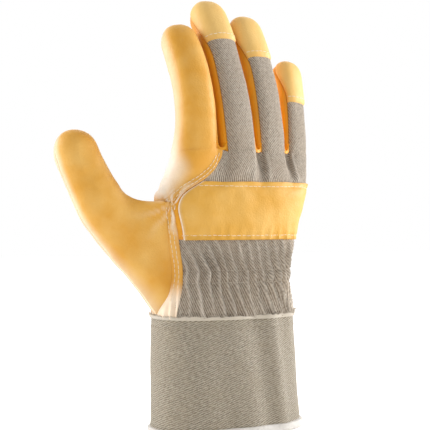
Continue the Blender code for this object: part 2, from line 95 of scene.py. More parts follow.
ROUNDNESS = 2.5  # the exponent of the sections' superellipse: 2 is an ellipse
THUMB_ROUNDNESS = 2.2
BACK_FROM, BACK_TO = 38.0, 142.0
FRONT_FROM, FRONT_TO = 218.0, 322.0
OUTER_SEAM = 186.0
ROOTS_FROM = 0.1460  # above this height the hand turns gradually into its finger roots

# Height, centre offset from the cuff's centre (x, y), half width, depth of back and of palm.
HAND_SECTIONS = (
    (0.0730, -0.0024, 0.0000, 0.0460, 0.0265, 0.0265),
    (0.0970, -0.0010, 0.0000, 0.0415, 0.0225, 0.0230),
    (0.1200, 0.0005, 0.0005, 0.0455, 0.0200, 0.0215),
    (0.1430, 0.0025, 0.0010, 0.0500, 0.0185, 0.0195),
    (0.1580, 0.0090, 0.0025, 0.0490, 0.0170, 0.0165),
    (0.1750, 0.0138, 0.0045, 0.0478, 0.0150, 0.0140),
)

# Root x and y from the cuff's centre, half width and depth, length; sideways lean as a slope, curl to the palm and roll
# about its own length in degrees; where the tip cap starts; and how far the middle bows to the side and to the palm.
Finger = namedtuple("Finger", "x y half_width half_depth length lean curl roll cap side_bow palm_bow")
FINGERS = {
    "index": Finger(-0.0205, -0.0015, 0.0129, 0.0116, 0.0835, -0.070, 27.0, -10.0, 0.0, 0.0010, -0.0035),
    "middle": Finger(0.0057, -0.0030, 0.0123, 0.0114, 0.1030, -0.085, 33.0, 2.0, 0.0700, 0.0006, 0.0),
    "ring": Finger(0.0305, 0.0034, 0.0119, 0.0108, 0.0930, -0.072, 27.0, 12.0, 0.0600, 0.0008, -0.0008),
    "little": Finger(0.0526, 0.0125, 0.0104, 0.0098, 0.0625, 0.040, 18.0, 20.0, 0.0320, 0.0, 0.0),
}
ORDER = tuple(FINGERS)
TAPER = 0.10  # the share of its width that a finger loses on the way to its tip
START_BEND = 3.0  # degrees towards the palm at its root

THUMB_RING = Vector((-0.0820, 0.0100, 0.1445))
THUMB_TIP = Vector((-0.0985, 0.0150, 0.1865))
THUMB_LEAN = Vector((-0.50, 0.08, 0.86)).normalized()
THUMB_ROOT_HALF = (0.0152, 0.0135)
THUMB_TIP_HALF = (0.0122, 0.0112)
THUMB_LENGTH, THUMB_ROOT_LENGTH = 0.1060, 0.0560
BEND_RUN = 0.028  # a length of cloth from where a digit's bend starts, which solid works out but nothing uses
FINGER_BEND = (0.0, 0.0, KNUCKLE - 0.0008)  # where that length starts, from the cuff's centre
THUMB_BEND = (-0.046, 0.0, 0.110)
WEAVE_DEPTH = 0.0005
SHARP = math.radians(50.0)  # an edge that turns by more than this is drawn sharp
RAW_RIM = 0.0007  # how far the raw edge of a panel that lies on another is rounded
SEAM_TICKS = (0.0004, 0.0010)  # where the first grid lines lie beside a seam
ROOT_LAP = 0.0010  # how far a finger's cloth runs down under the hand's

# The stage. A lamp's name, azimuth and elevation in degrees, distance, size and watts.
LAMPS = (
    ("Key", 80.0, 16.0, 1.2, 0.5, 14.0),
    ("Edge", -118.0, 22.0, 1.1, 0.5, 7.5),
    ("Back", 160.0, 30.0, 1.3, 0.7, 3.0),
)
DOME_LIGHT = 0.66
FLOOR_GLOW, FLOOR_GLOW_SEEN = 0.30, 0.24
AIM_HEIGHT = 0.135
CAMERA_TURN, CAMERA_AWAY, CAMERA_LEFT = -25.0, 0.765, 0.007
LENS, SENSOR = 101.2, 36.0  # millimetres


def linear(hex_code):
    """An sRGB hex colour as linear RGB."""
    parts = [int(hex_code[k : k + 2], 16) / 255 for k in (1, 3, 5)]
    return tuple(c / 12.92 if c <= 0.04045 else ((c + 0.055) / 1.055) ** 2.4 for c in parts)


def eased(t):
    t = min(max(t, 0.0), 1.0)
    return t * t * (3.0 - 2.0 * t)


def hill(distance, width):
    """1 at no distance, falling smoothly to nothing at about twice the width."""
    return math.exp(-((distance / width) ** 2))


def power(value, exponent):
    return math.copysign(abs(value) ** exponent, value)


def glide(t, start, leave, end, arrive):
    """From start to end as t goes from 0 to 1, along a smooth curve with these directions at its ends."""
    return (
        start * (2 * t**3 - 3 * t**2 + 1)
        + leave * (t**3 - 2 * t**2 + t)
        + end * (3 * t**2 - 2 * t**3)
        + arrive * (t**3 - t**2)
    )


def oval(angle, half_width, back, palm):
    c, s = math.cos(math.radians(angle)), math.sin(math.radians(angle))
    depth = back if s > 0 else palm
    return -half_width * power(c, 2.0 / ROUNDNESS), -depth * power(s, 2.0 / ROUNDNESS)


def at_centre(x, y, z):
    return Vector((CENTRE_X + x, CENTRE_Y + y, z))


@lru_cache(maxsize=None)
def between_sections(z):
    rows = HAND_SECTIONS
    z = min(max(z, rows[0][0]), rows[-1][0])
    i = max(k for k in range(len(rows) - 1) if rows[k][0] <= z)
    low, high = rows[i], rows[i + 1]
    before, after = rows[max(i - 1, 0)], rows[min(i + 2, len(rows) - 1)]
    span = high[0] - low[0]
    t = (z - low[0]) / span
    found = []
    for k in range(1, len(low)):
        slope_low = (high[k] - before[k]) / (high[0] - before[0]) * span
        slope_high = (after[k] - low[k]) / (after[0] - low[0]) * span
        found.append(glide(t, low[k], slope_low, high[k], slope_high))
    return found


@lru_cache(maxsize=None)
def finger_axis(name, along):
    """The centre of a finger's section, and its axes: outwards to the side, to the palm and to the tip."""
    finger = FINGERS[name]
    start = math.radians(START_BEND)
    bend = math.radians(finger.curl) / finger.length
    if along < 0:
        turned = start
        forward, up = along * math.sin(start), along * math.cos(start)
    else:
        turned = start + bend * along
        forward = (math.cos(start) - math.cos(turned)) / bend
        up = (math.sin(turned) - math.sin(start)) / bend
    bow = math.sin(math.pi * min(max(along / finger.length, 0.0), 1.0)) ** 1.5
    centre = at_centre(finger.x, finger.y, KNUCKLE)
    centre += Vector((finger.lean * up + finger.side_bow * bow, forward + finger.palm_bow * bow, up))
    ahead = Vector((finger.lean * math.cos(turned), math.sin(turned), math.cos(turned))).normalized()
    side = (Vector((1, 0, 0)) - ahead * ahead.x).normalized()
    palm = ahead.cross(side)
    turn = math.radians(finger.roll)
    return centre, side * math.cos(turn) + palm * math.sin(turn), palm * math.cos(turn) - side * math.sin(turn), ahead


def finger_surface(name, angle, along):
    finger = FINGERS[name]
    round_from = finger.length - finger.half_width
    shrink, at = 1.0, along
    if along > round_from:
        turn = min((along - round_from) / finger.half_width, 1.0) * math.pi / 2
        at = round_from + finger.half_width * math.sin(turn)
        shrink = max(math.cos(turn), 0.0) ** 0.7
    centre, side, palm, _ = finger_axis(name, at)
    size = (1.0 - TAPER * max(along, 0.0) / finger.length) * shrink
    x, y = oval(angle, finger.half_width * size, finger.half_depth * size, finger.half_depth * size)
    return centre + side * x + palm * y


def hand_angle_of(x):
    _, centre, _, half_width, _, _ = HAND_SECTIONS[-1]
    share = min(max((x - centre) / half_width, -1.0), 1.0)
    return math.degrees(math.acos(-power(share, ROUNDNESS / 2.0)))


def root_marks():
    """(hand angle, finger, finger angle) round the knuckles, thumb side first."""
    marks = [(0.0, "index", 0.0)]
    for name in ORDER:
        for angle in (BACK_FROM, BACK_TO):
            marks.append((hand_angle_of(finger_surface(name, angle, 0.0).x - CENTRE_X), name, angle))
    marks.append((180.0, "little", 180.0))
    for name in reversed(ORDER):
        for angle in (FRONT_FROM, FRONT_TO):
            marks.append((360.0 - hand_angle_of(finger_surface(name, angle, 0.0).x - CENTRE_X), name, angle))
    marks.append((360.0, "index", 360.0))
    return marks


MARKS = root_marks()
CROTCHES = [(MARKS[k][0] + MARKS[k + 1][0]) / 2 for k in (2, 4, 6)]


def root_surface(angle, z):
    angle %= 360.0
    k = max(i for i in range(len(MARKS) - 1) if MARKS[i][0] <= angle)
    (low, name, at_low), (high, following, at_high) = MARKS[k], MARKS[k + 1]
    t = (angle - low) / max(high - low, 1e-6)
    along = z - KNUCKLE
    if name == following:
        return finger_surface(name, at_low + (at_high - at_low) * t, along)
    return finger_surface(name, at_low, along).lerp(finger_surface(following, at_high, along), t)


def hand_surface(angle, z):
    x, y, half_width, back, palm = between_sections(z)
    across, deep = oval(angle, half_width, back, palm)
    plain = at_centre(x + across, y + deep, z)
    share = eased((z - ROOTS_FROM) / (KNUCKLE - ROOTS_FROM))
    return plain.lerp(root_surface(angle, z), share) if share > 0 else plain


def cuff_surface(angle, z):
    t = z / CUFF_HEIGHT
    half_width = CUFF_HEM_HALF[0] + (CUFF_TOP_HALF[0] - CUFF_HEM_HALF[0]) * t
    depth = CUFF_HEM_HALF[1] + (CUFF_TOP_HALF[1] - CUFF_HEM_HALF[1]) * t
    across, deep = oval(angle, half_width, depth, depth)
    return at_centre(CUFF_TOP_SHIFT * t + across, deep, z)


def notch_edges(z):
    t = min(max((z - CUFF_HEIGHT) / (NOTCH_TOP - CUFF_HEIGHT), 0.0), 1.0)
    palm_edge = -(4.0 + 54.0 * math.sin(2.3 * t))
    back_edge = 4.0 + 14.0 * eased(t / 0.22) + 12.0 * t**4
    return palm_edge, back_edge


def leather_edge(z):
    slant = eased((z - 0.136) / (KNUCKLE - 0.136))
    return 36.0 + (CROTCHES[0] - 36.0) * slant


BACK_EDGE_SHARE, TOP_SHARE, PALM_EDGE_SHARE = 0.38, 0.56, 0.94
THUMB_TURNS = ((-0.04, -180.0), (0.20, -90.0), (0.47, 0.0), (0.75, 90.0), (0.96, 180.0))
THUMB_INNER, THUMB_OUTER = 0.47, 0.96


def thumb_root(share):
    low, high = CUFF_HEIGHT + 0.0005, NOTCH_TOP
    share %= 1.0
    if share < BACK_EDGE_SHARE:
        z = low + (high - low) * share / BACK_EDGE_SHARE
        return hand_surface(notch_edges(z)[1], z)
    if share < TOP_SHARE:
        t = (share - BACK_EDGE_SHARE) / (TOP_SHARE - BACK_EDGE_SHARE)
        palm_edge, back_edge = notch_edges(high)
        return hand_surface(back_edge + (palm_edge - back_edge) * t, high)
    if share < PALM_EDGE_SHARE:
        z = high + (low - high) * (share - TOP_SHARE) / (PALM_EDGE_SHARE - TOP_SHARE)
        return hand_surface(notch_edges(z)[0], z)
    t = (share - PALM_EDGE_SHARE) / (1.0 - PALM_EDGE_SHARE)
    palm_edge, back_edge = notch_edges(low)
    return hand_surface(palm_edge + (back_edge - palm_edge) * t, low)


def thumb_turn(share):
    share = (share + 0.04) % 1.0 - 0.04
    k = max(i for i in range(len(THUMB_TURNS) - 1) if THUMB_TURNS[i][0] <= share)
    (low, at_low), (high, at_high) = THUMB_TURNS[k], THUMB_TURNS[k + 1]
    return at_low + (at_high - at_low) * (share - low) / (high - low)


@lru_cache(maxsize=None)
def thumb_axis(at):
    free = THUMB_LENGTH - THUMB_ROOT_LENGTH
    t = at / free
    first, last = at_centre(*THUMB_RING), at_centre(*THUMB_TIP)
    handle = first + THUMB_LEAN * free * 0.5
    centre = first.lerp(handle, t).lerp(handle.lerp(last, t), t)
    ahead = (handle - first).lerp(last - handle, t).normalized()
    palm = (Vector((0, 1, 0)) - ahead * ahead.y).normalized()
    return centre, palm.cross(ahead), palm, ahead


def thumb_ring(share, along):
    free = THUMB_LENGTH - THUMB_ROOT_LENGTH
    tip_radius = 1.3 * THUMB_TIP_HALF[0]
    shrink, at = 1.0, along
    if along > free - tip_radius:
        turn = min((along - free + tip_radius) / tip_radius, 1.0) * math.pi / 2
        at = free - tip_radius + tip_radius * math.sin(turn)
        shrink = max(math.cos(turn), 0.0) ** 0.9
    centre, inner, palm, _ = thumb_axis(at)
    size = min(max(along / free, 0.0), 1.0)
    half_width = (THUMB_ROOT_HALF[0] + (THUMB_TIP_HALF[0] - THUMB_ROOT_HALF[0]) * size) * shrink
    half_depth = (THUMB_ROOT_HALF[1] + (THUMB_TIP_HALF[1] - THUMB_ROOT_HALF[1]) * size) * shrink
    turn = math.radians(thumb_turn(share))
    across = half_width * power(math.cos(turn), 2.0 / THUMB_ROUNDNESS)
    deep = half_depth * power(math.sin(turn), 2.0 / THUMB_ROUNDNESS)
    return centre + inner * across + palm * deep


def thumb_surface(share, along):
    if along >= THUMB_ROOT_LENGTH:
        return thumb_ring(share, along - THUMB_ROOT_LENGTH)
    t = max(along, 0.0) / THUMB_ROOT_LENGTH
    start, end = thumb_root(share), thumb_ring(share, 0.0)
    facing = math.cos(math.radians(thumb_turn(share)))
    reach = (end - start).length
    leave = Vector((-1.0, 0.0, 0.0)).lerp(THUMB_LEAN, 0.5 - 0.5 * facing).normalized() * reach * 0.9
    arrive = THUMB_LEAN * reach
    return glide(t, start, leave, end, arrive)


# ---------------------------------------------------------------------------------------------------------------
# The girth of the hand in metres, from the thumb side: the same cloth coordinate on the hand and on the fingers.
GIRTH_STEP = 2.0


def girth_table():
    found, total = [0.0], 0.0
    before = hand_surface(0.0, 0.150)
    for k in range(1, int(360 / GIRTH_STEP) + 1):
        here = hand_surface(k * GIRTH_STEP, 0.150)
        total += (here - before).length
        found.append(total)
        before = here
    return found


GIRTH = girth_table()


def girth(angle):
    turns, angle = divmod(angle, 360.0)
    at = angle / GIRTH_STEP
    k = min(int(at), len(GIRTH) - 2)
    return turns * GIRTH[-1] + GIRTH[k] + (GIRTH[k + 1] - GIRTH[k]) * (at - k)


def angle_at(run):
    """The angle round the hand at which its girth has reached this length."""
    turns, run = divmod(run, GIRTH[-1])
    k = min(bisect_right(GIRTH, run), len(GIRTH) - 1) - 1
    return 360.0 * turns + GIRTH_STEP * (k + (run - GIRTH[k]) / (GIRTH[k + 1] - GIRTH[k]))


# ---------------------------------------------------------------------------------------------------------------
# Folds: how far the cloth stands out from the form, in metres.


def ripple(point, size, seed=0.0):
    """Smooth noise between about -1 and 1 with waves of this size."""
    return noise.noise(Vector((point[0] / size + seed, point[1] / size - seed, point[2] / size + 2 * seed)))


SEAM_JUNCTION = hand_surface(31.0, 0.1405)
WRINKLE = 0.0007


def junction_wrinkles(point):
    """The wrinkles that fan out from where the thumb seam and the index seam meet."""
    away = point - SEAM_JUNCTION
    reach = away.length
    turn = math.atan2(away.z, away.x)
    return WRINKLE * hill(reach, 0.015) * eased(reach / 0.004) * math.cos(9.0 * turn + 3.0 * ripple(point, 0.012))


WEB_HEIGHT = 0.1625  # where the web is widest


def web_swell(point, rim, height):
    """The leather between thumb and index finger, pulled out into a web along the thumb side."""
    width = 0.0125 if height < WEB_HEIGHT else 0.0200
    near = eased(1.0 - (point - rim).length / 0.024)
    return 0.0056 * near * hill(height - WEB_HEIGHT, width) * eased((height - 0.1432) / 0.006)


def hand_leather_folds(angle, z):
    point = hand_surface(angle, z)
    around = angle % 360.0
    out = 0.0006 * ripple(point, 0.022, 1.7) + 0.0003 * ripple(point, 0.008, 4.1) + junction_wrinkles(point)
    out += web_swell(point, hand_surface(0.0, z), z)
    # It laps over the twill along its edge on the back.
    if around < 90.0:
        edge_gap = girth(leather_edge(z)) - girth(around)
        out += 0.0010 * eased(1.0 - edge_gap / 0.010)
    # Fine upright wrinkles where the wrist narrows under the thumb.
    if around < 60.0:
        run = girth(around) + 0.0006 * ripple(point, 0.009, 2.0)
        clear = eased((around - notch_edges(z)[1] - 2.0) / 12.0) if z < NOTCH_TOP else 1.0
        out += 0.0009 * clear * eased((0.104 - z) / 0.020) * math.sin(2 * math.pi * (run + 0.10 * (z - 0.09)) / 0.0042)
    if around > OUTER_SEAM:
        # Creases across the palm where it folds, and the hollow of the hand.
        run = z + 0.16 * (girth(around) - girth(270.0)) + 0.002 * ripple(point, 0.03, 5.0)
        for height, depth in ((0.158, 0.0007), (0.134, 0.0009), (0.101, 0.0007)):
            out -= depth * hill(run - height, 0.0016)
        for height in (0.080, 0.087, 0.094):
            out -= 0.0004 * hill(z + 0.001 * ripple(point, 0.02) - height, 0.0012)
    return out


def upper_back_folds(angle, z):
    point = hand_surface(angle, z)
    out = 0.0004 * ripple(point, 0.018, 3.3) + 0.00015 * ripple(point, 0.006, 8.0)
    up = eased((z - 0.152) / 0.022)
    for crotch, depth in zip(CROTCHES[1:], (0.0024, 0.0020)):
        gap = girth(angle) - girth(crotch) - 0.15 * (KNUCKLE - z)
        out -= depth * up * hill(gap, 0.0030)
        out += 0.0010 * (1.0 - 0.3 * up) * hill(gap - 0.0055, 0.0018)
    out += 0.0009 * hill(girth(angle) - girth(CROTCHES[1]) + 0.011 - 0.35 * (KNUCKLE - z), 0.0022)
    return out * eased((z - 0.1520) / 0.006)


PLEAT_PITCH = 0.0073
GATHER = 1.12  # the cloth in the lower back for each length of hand that it goes round


def pleats(angle, z):
    """The gathers that the elastic draws into the twill: upright across the tape, slanting above and below it."""
    low, high = ELASTIC_ROWS
    run = girth(angle)
    if z > high:
        run += 0.42 * (z - high)
    elif z < low:
        run += 0.30 * (z - low)
    run += 0.0018 * ripple((girth(angle), 0.0, z), 0.014, 6.0)
    strength = (1.0 - 0.60 * eased((z - high) / 0.020) - 0.30 * eased((low - z) / 0.020)) * eased((0.1225 - z) / 0.004)
    step = run / PLEAT_PITCH
    which = math.floor(step)
    own = 0.80 + 0.9 * noise.noise(Vector((which * 3.7, 1.3, z / 0.022)))
    phase = step - which - 0.5
    crest = math.exp(-((phase / 0.11) ** 2)) - 0.35 * math.exp(-(((phase - 0.22) / 0.10) ** 2))
    return strength * own * (0.0006 * math.cos(2 * math.pi * phase) + 0.0026 * crest)


def lower_back_folds(angle, z):
    point = hand_surface(angle, z)
    low, high = ELASTIC_ROWS
    fade = eased((angle - leather_edge(z)) / 9.0) * eased((OUTER_SEAM - angle) / 9.0)
    out = pleats(angle, z) * (0.25 + 0.75 * fade) + 0.0002 * ripple(point, 0.008, 2.2)
    for row in (low, high):
        out -= 0.00055 * hill(z - row, 0.0009)
    return out + 0.0005 * hill(z - (low + high) / 2, 0.0028)


def strap_folds(angle, z):
    point = hand_surface(angle, z)
    out = 0.0007 * ripple(point, 0.017, 7.0) + 0.0003 * ripple(point, 0.007, 2.0)
    # It sinks along its stitch rows and swells between them.
    for row in STRAP_ROWS:
        out -= 0.0004 * hill(z - row, 0.0010)
    middle = (STRAP_BOTTOM + STRAP_TOP) / 2
    out += 0.0006 * (1.0 - min(((z - middle) / 0.018) ** 2, 1.0))
    # The gathers below push shallow flutes into its lower edge.
    return out + 0.35 * pleats(angle, ELASTIC_ROWS[1] + 0.010) * eased((STRAP_BOTTOM + 0.012 - z) / 0.012)


def cuff_folds(angle, z):
    point = cuff_surface(angle, z)
    around = angle % 360.0
    lean = 10.0 * (z / CUFF_HEIGHT - 0.5)
    out = 0.0015 * math.cos(math.radians(360.0 * (around - 89.0 + lean) / 29.0)) * hill(around - 104.0, 24.0)
    out += 0.0007 * math.cos(math.radians(360.0 * (around - 262.0 - lean) / 34.0)) * hill(around - 268.0, 34.0)
    out += 0.0006 * ripple(point, 0.030, 9.0) + 0.00015 * ripple(point, 0.007, 1.0)
    return out * eased(z / 0.012 + 0.25)


def finger_folds(name):
    def folds(angle, along):
        point = finger_surface(name, angle, along)
        out = 0.0004 * ripple(point, 0.020, len(name)) + 0.00012 * ripple(point, 0.006, 5.0)
        # The front creases a little where the finger bends.
        if 200.0 < angle % 360.0 < 340.0:
            length = FINGERS[name].length
            for share in (0.30, 0.62):
                out -= 0.0005 * hill(along - share * length, 0.0018)
                out += 0.0003 * hill(along - share * length - 0.003, 0.0018)
        if name == "index":
            out += web_swell(point, finger_surface(name, 0.0, along), KNUCKLE + along) + junction_wrinkles(point)
        return out

    return folds


def thumb_folds(share, along):
    point = thumb_surface(share, along)
    out = 0.0010 * ripple(point, 0.024, 3.0) + 0.0004 * ripple(point, 0.008, 6.0)
    return out * eased(along / 0.010 + 0.2) + 0.6 * junction_wrinkles(point)


def painted_rim_highlight(point, rim, height):
    """How pale the leather is painted over the thumb side of the hand and of the index finger: a painted highlight. It
    is palest and widest on the web, and fades towards the palm."""
    reach = 0.0135 - 0.0045 * eased((height - 0.160) / 0.020)
    strength = 1.0 - 0.60 * eased((height - 0.164) / 0.030)
    palm_side = 1.0 - 0.60 * eased((point.y - rim.y) / 0.008)
    return strength * palm_side * eased(1.15 - (point - rim).length / reach)


class Skin:
    """A surface of the form with its folds."""

    def __init__(self, surface, folds=None, lift=0.0, across_step=0.5, tip=None, length=None):
        self.surface, self.folds, self.lift = surface, folds, lift
        self.across_step, self.tip, self.length = across_step, tip, length

    def normal(self, across, along):
        run = self.surface(across + self.across_step, along) - self.surface(across - self.across_step, along)
        rise = self.surface(across, along + 0.0003) - self.surface(across, along - 0.0003)
        found = run.cross(rise)
        if self.tip is not None and (self.length - along < 1e-5 or found.length < 1e-12):
            return self.tip
        return found.normalized()

    def out(self, across, along):
        return self.lift + (self.folds(across, along) if self.folds else 0.0)

    def point(self, across, along):
        return self.surface(across, along) + self.normal(across, along) * self.out(across, along)


def ticks(length, step, ends=(0.0004, 0.0011)):
    """Shares from 0 to 1 for the lines of a grid, closer together at both ends so that an edge can roll over."""
    inside = max(round((length - 2 * ends[-1]) / step), 2)
    close = [e / length for e in ends]
    middle = [close[-1] + (1 - 2 * close[-1]) * k / inside for k in range(1, inside)]
    return [0.0, *close, *middle, *(1 - c for c in reversed(close)), 1.0]


def sheet(name, skin, place, columns, rows, thickness, kind, slot, replaced=(), bends=None, keep=None, rims="lrbt",
          rim=0.0003, roll=0.0, weave=None, pale=None, closed=False, held="stretched", fullness=1.0, tuck=0.0):
    """A sheet of cloth or leather laid on a skin. columns and rows are the shares of its grid lines, and place turns a
    pair of them into (across, along). Its upper edge is rounded by rim, all of it dips by roll at its seams, and its
    bottom is tucked by tuck under its neighbour. The area it was cut to, that of the smooth form times the fullness
    that its gathers take up, is worked out but not used."""
    nx, ny = len(columns), len(rows)
    bm = bmesh.new()
    bmesh.ops.create_grid(bm, x_segments=nx - 1, y_segments=ny - 1, size=0.5)
    if keep:
        spare = []
        for face in bm.faces:
            middle = face.calc_center_median()
            if not keep(int((middle.x + 0.5) * (nx - 1)), int((middle.y + 0.5) * (ny - 1))):
                spare.append(face)
        bmesh.ops.delete(bm, geom=spare, context="FACES")
    made = bmesh.ops.extrude_face_region(bm, geom=list(bm.faces), use_keep_orig=True)
    lower = [v for v in made["geom"] if isinstance(v, bmesh.types.BMVert)]
    bmesh.ops.translate(bm, verts=lower, vec=(0, 0, -1))

    spots = [[place(c, r) for r in rows] for c in columns]
    base = [[skin.surface(*spot) for spot in line] for line in spots]
    out = [[skin.out(*spot) for spot in line] for line in spots]
    normals = [[skin.normal(*spot) for spot in line] for line in spots]
    ran = [[0.0] * ny for _ in range(nx)]
    rose = [[0.0] * ny for _ in range(nx)]
    for i in range(nx):
        for j in range(ny):
            if i:
                ran[i][j] = ran[i - 1][j] + (base[i][j] - base[i - 1][j]).length
            if j:
                rose[i][j] = rose[i][j - 1] + (base[i][j] - base[i][j - 1]).length

    cut = 0.0
    for i in range(nx - 1):
        for j in range(ny - 1):
            if keep is None or keep(i, j):
                one, two = base[i + 1][j + 1] - base[i][j], base[i][j + 1] - base[i + 1][j]
                cut += one.cross(two).length / 2 * fullness

    neutral = 0.5 if weave else 0.0  # on cloth, 0.5 is neither crest nor hollow
    starts = [weave(*spots[0][j])[0] if weave else 0.0 for j in range(ny)]
    uv_layer = bm.loops.layers.uv.new("cloth")
    pale_layer = bm.verts.layers.float.new("pale")
    edge_layer = bm.verts.layers.float.new("edge")
    grid = {}
    for vert in bm.verts:
        i, j = round((vert.co.x + 0.5) * (nx - 1)), round((vert.co.y + 0.5) * (ny - 1))
        gaps = {
            "l": ran[i][j], "r": ran[-1][j] - ran[i][j], "b": rose[i][j], "t": rose[i][-1] - rose[i][j],
        }
        near = min((gaps[side] for side in rims), default=1.0)
        width = max(ran[-1][j], 1e-5)
        height = out[i][j] - min(roll, 0.12 * width) * max(1.0 - near / 0.0016, 0.0) ** 2
        height -= tuck * max(1.0 - rose[i][j] / ROOT_LAP, 0.0) ** 2
        if vert.co.z > -0.5:
            share = min(near / max(rim, 1e-6), 1.0)
            height -= min(rim, 0.1 * width) * (1.0 - math.sqrt(1.0 - (1.0 - share) ** 2))
        else:
            height -= thickness
        grid[vert] = (i, j)
        vert.co = base[i][j] + normals[i][j] * height
        # edge: how near the sheet's edge a vertex lies; leather is painted deeper by it, painted shade along seams and
        # edges with some wear.
        vert[edge_layer] = eased(1.0 - near / 0.0034)
        # pale: on leather, painted highlight and the paler raw end of the strap; on cloth, the fold height, which
        # paints highlight on crests and shade in hollows.
        vert[pale_layer] = min(max(pale(*spots[i][j]), 0.0), 1.0) if pale else neutral
    for face in bm.faces:
        for loop in face.loops:
            i, j = grid[loop.vert]
            loop[uv_layer].uv = (starts[j] + ran[i][j], weave(*spots[i][j])[1] if weave else rose[i][j])
    if closed:
        ends = [f for f in bm.faces if {grid[v][0] for v in f.verts} in ({0}, {nx - 1})]
        bmesh.ops.delete(bm, geom=ends, context="FACES_ONLY")
    if closed or skin.tip is not None:
        bmesh.ops.remove_doubles(bm, verts=bm.verts, dist=2e-6)
    piece = solid(name, bm, kind, replaced, bends)
    wide, long = max(ran[-1]), max(line[-1] for line in rose)
    min(wide, long) >= 0.010


def solid(name, bm, kind, replaced=(), bends=None):
    """Turns a closed bmesh into the named piece and hides the frame parts that it replaces. It rides on the hand unless
    bends names a digit; then it is left unattached, and nothing bends it."""
    bmesh.ops.recalc_face_normals(bm, faces=bm.faces)
    if bm.calc_volume(signed=True) < 0:
        bmesh.ops.reverse_faces(bm, faces=bm.faces)
    mesh = bpy.data.meshes.new(name)
    bm.to_mesh(mesh)
    bm.free()
    mesh.shade_smooth()
    mesh.set_sharp_from_angle(angle=SHARP)
    mesh.materials.append(stuff(kind))
    piece = bpy.data.objects.new(name, mesh)
    bpy.context.scene.collection.objects.link(piece)
    if replaced:
        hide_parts(*replaced)
    if bends:
        start, run = (THUMB_BEND, (-BEND_RUN, 0, 0)) if bends == "thumb" else (FINGER_BEND, (0, 0, BEND_RUN))
        start = at_centre(*start)
        tuple(start)
        tuple(start + Vector(run))
        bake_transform(piece)
    else:
        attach(piece, "hand")
    return piece


def sewn(name, skin, spots, size, kind, bends=None):
    """A row of stitches over places on a skin: small lozenges of thread that dip at their ends."""
    path = [(skin.point(*spot), skin.normal(*spot)) for spot in spots]
    bm = bmesh.new()
    length, gap, radius = size
    runs = [0.0]
    for (a, _), (b, _) in zip(path, path[1:]):
        runs.append(runs[-1] + (b - a).length)

    def spot(at):
        k = max(i for i in range(len(runs) - 1) if runs[i] <= at)
        t = (at - runs[k]) / max(runs[k + 1] - runs[k], 1e-9)
        return path[k][0].lerp(path[k + 1][0], t), path[k][1].lerp(path[k + 1][1], t).normalized()

    count = max(int((runs[-1] + gap) / (length + gap)), 1)
    for k in range(count):
        wander = 0.00012 * math.sin(2.3 * k)
        start = k * (length + gap)
        (a, n1), (b, n2) = spot(start), spot(min(start + length, runs[-1]))
        ahead, up = (b - a), (n1 + n2).normalized()
        side = up.cross(ahead).normalized()
        up = ahead.cross(side).normalized()
        middle = (a + b) / 2 + side * wander + up * radius * 0.35
        basis = Matrix((ahead.normalized(), side, up)).transposed().to_4x4()
        scale = Matrix.Diagonal((ahead.length * 0.54, radius, radius, 1.0))
        bmesh.ops.create_uvsphere(
            bm, u_segments=6, v_segments=6, radius=1.0,
            matrix=Matrix.Translation(middle) @ basis @ scale @ Matrix.Rotation(math.pi / 2, 4, "Y"),
        )
    solid(name, bm, kind, bends=bends)


# ---------------------------------------------------------------------------------------------------------------
# Materials


def node(tree, kind, inputs=None, **settings):
    """Adds one node: its settings, and its inputs. An input is set if it is given a value, and linked if it is given a
    socket, or a node, whose first output it takes."""
    made = tree.nodes.new("ShaderNode" + kind)
    for key, value in settings.items():
        setattr(made, key, value)
    for key, value in (inputs or {}).items():
        if isinstance(value, bpy.types.Node):
            value = value.outputs[0]
        if isinstance(value, bpy.types.NodeSocket):
            tree.links.new(value, made.inputs[key])
        else:
            made.inputs[key].default_value = value
    return made


def rgba(colour):
    return (*colour[:3], 1.0)


def begin_material(name):
    material = bpy.data.materials.new(name)
    material.use_nodes = True
    material.node_tree.nodes.clear()
    return material, material.node_tree


def end_material(tree, base, layers, height, relief, roughness, specular, sheen, sheen_roughness):
    """Lays colours over the base one after another, each by its share, and makes the shader. relief is the strength
    of the bump and its depth in metres."""
    colour = rgba(base)
    for share, over in layers:
        # Inputs 6 and 7 and output 2 are this node's colours.
        colour = node(tree, "Mix", {0: share, 6: colour, 7: rgba(over)}, data_type="RGBA").outputs[2]
    bump = node(tree, "Bump", {"Height": height, "Strength": relief[0], "Distance": relief[1]})
    shader = node(tree, "BsdfPrincipled",
                  {"Base Color": colour, "Roughness": roughness, "Normal": bump, "Specular IOR Level": specular,
                   "Sheen Weight": sheen, "Sheen Roughness": sheen_roughness})
    node(tree, "OutputMaterial", {"Surface": shader})


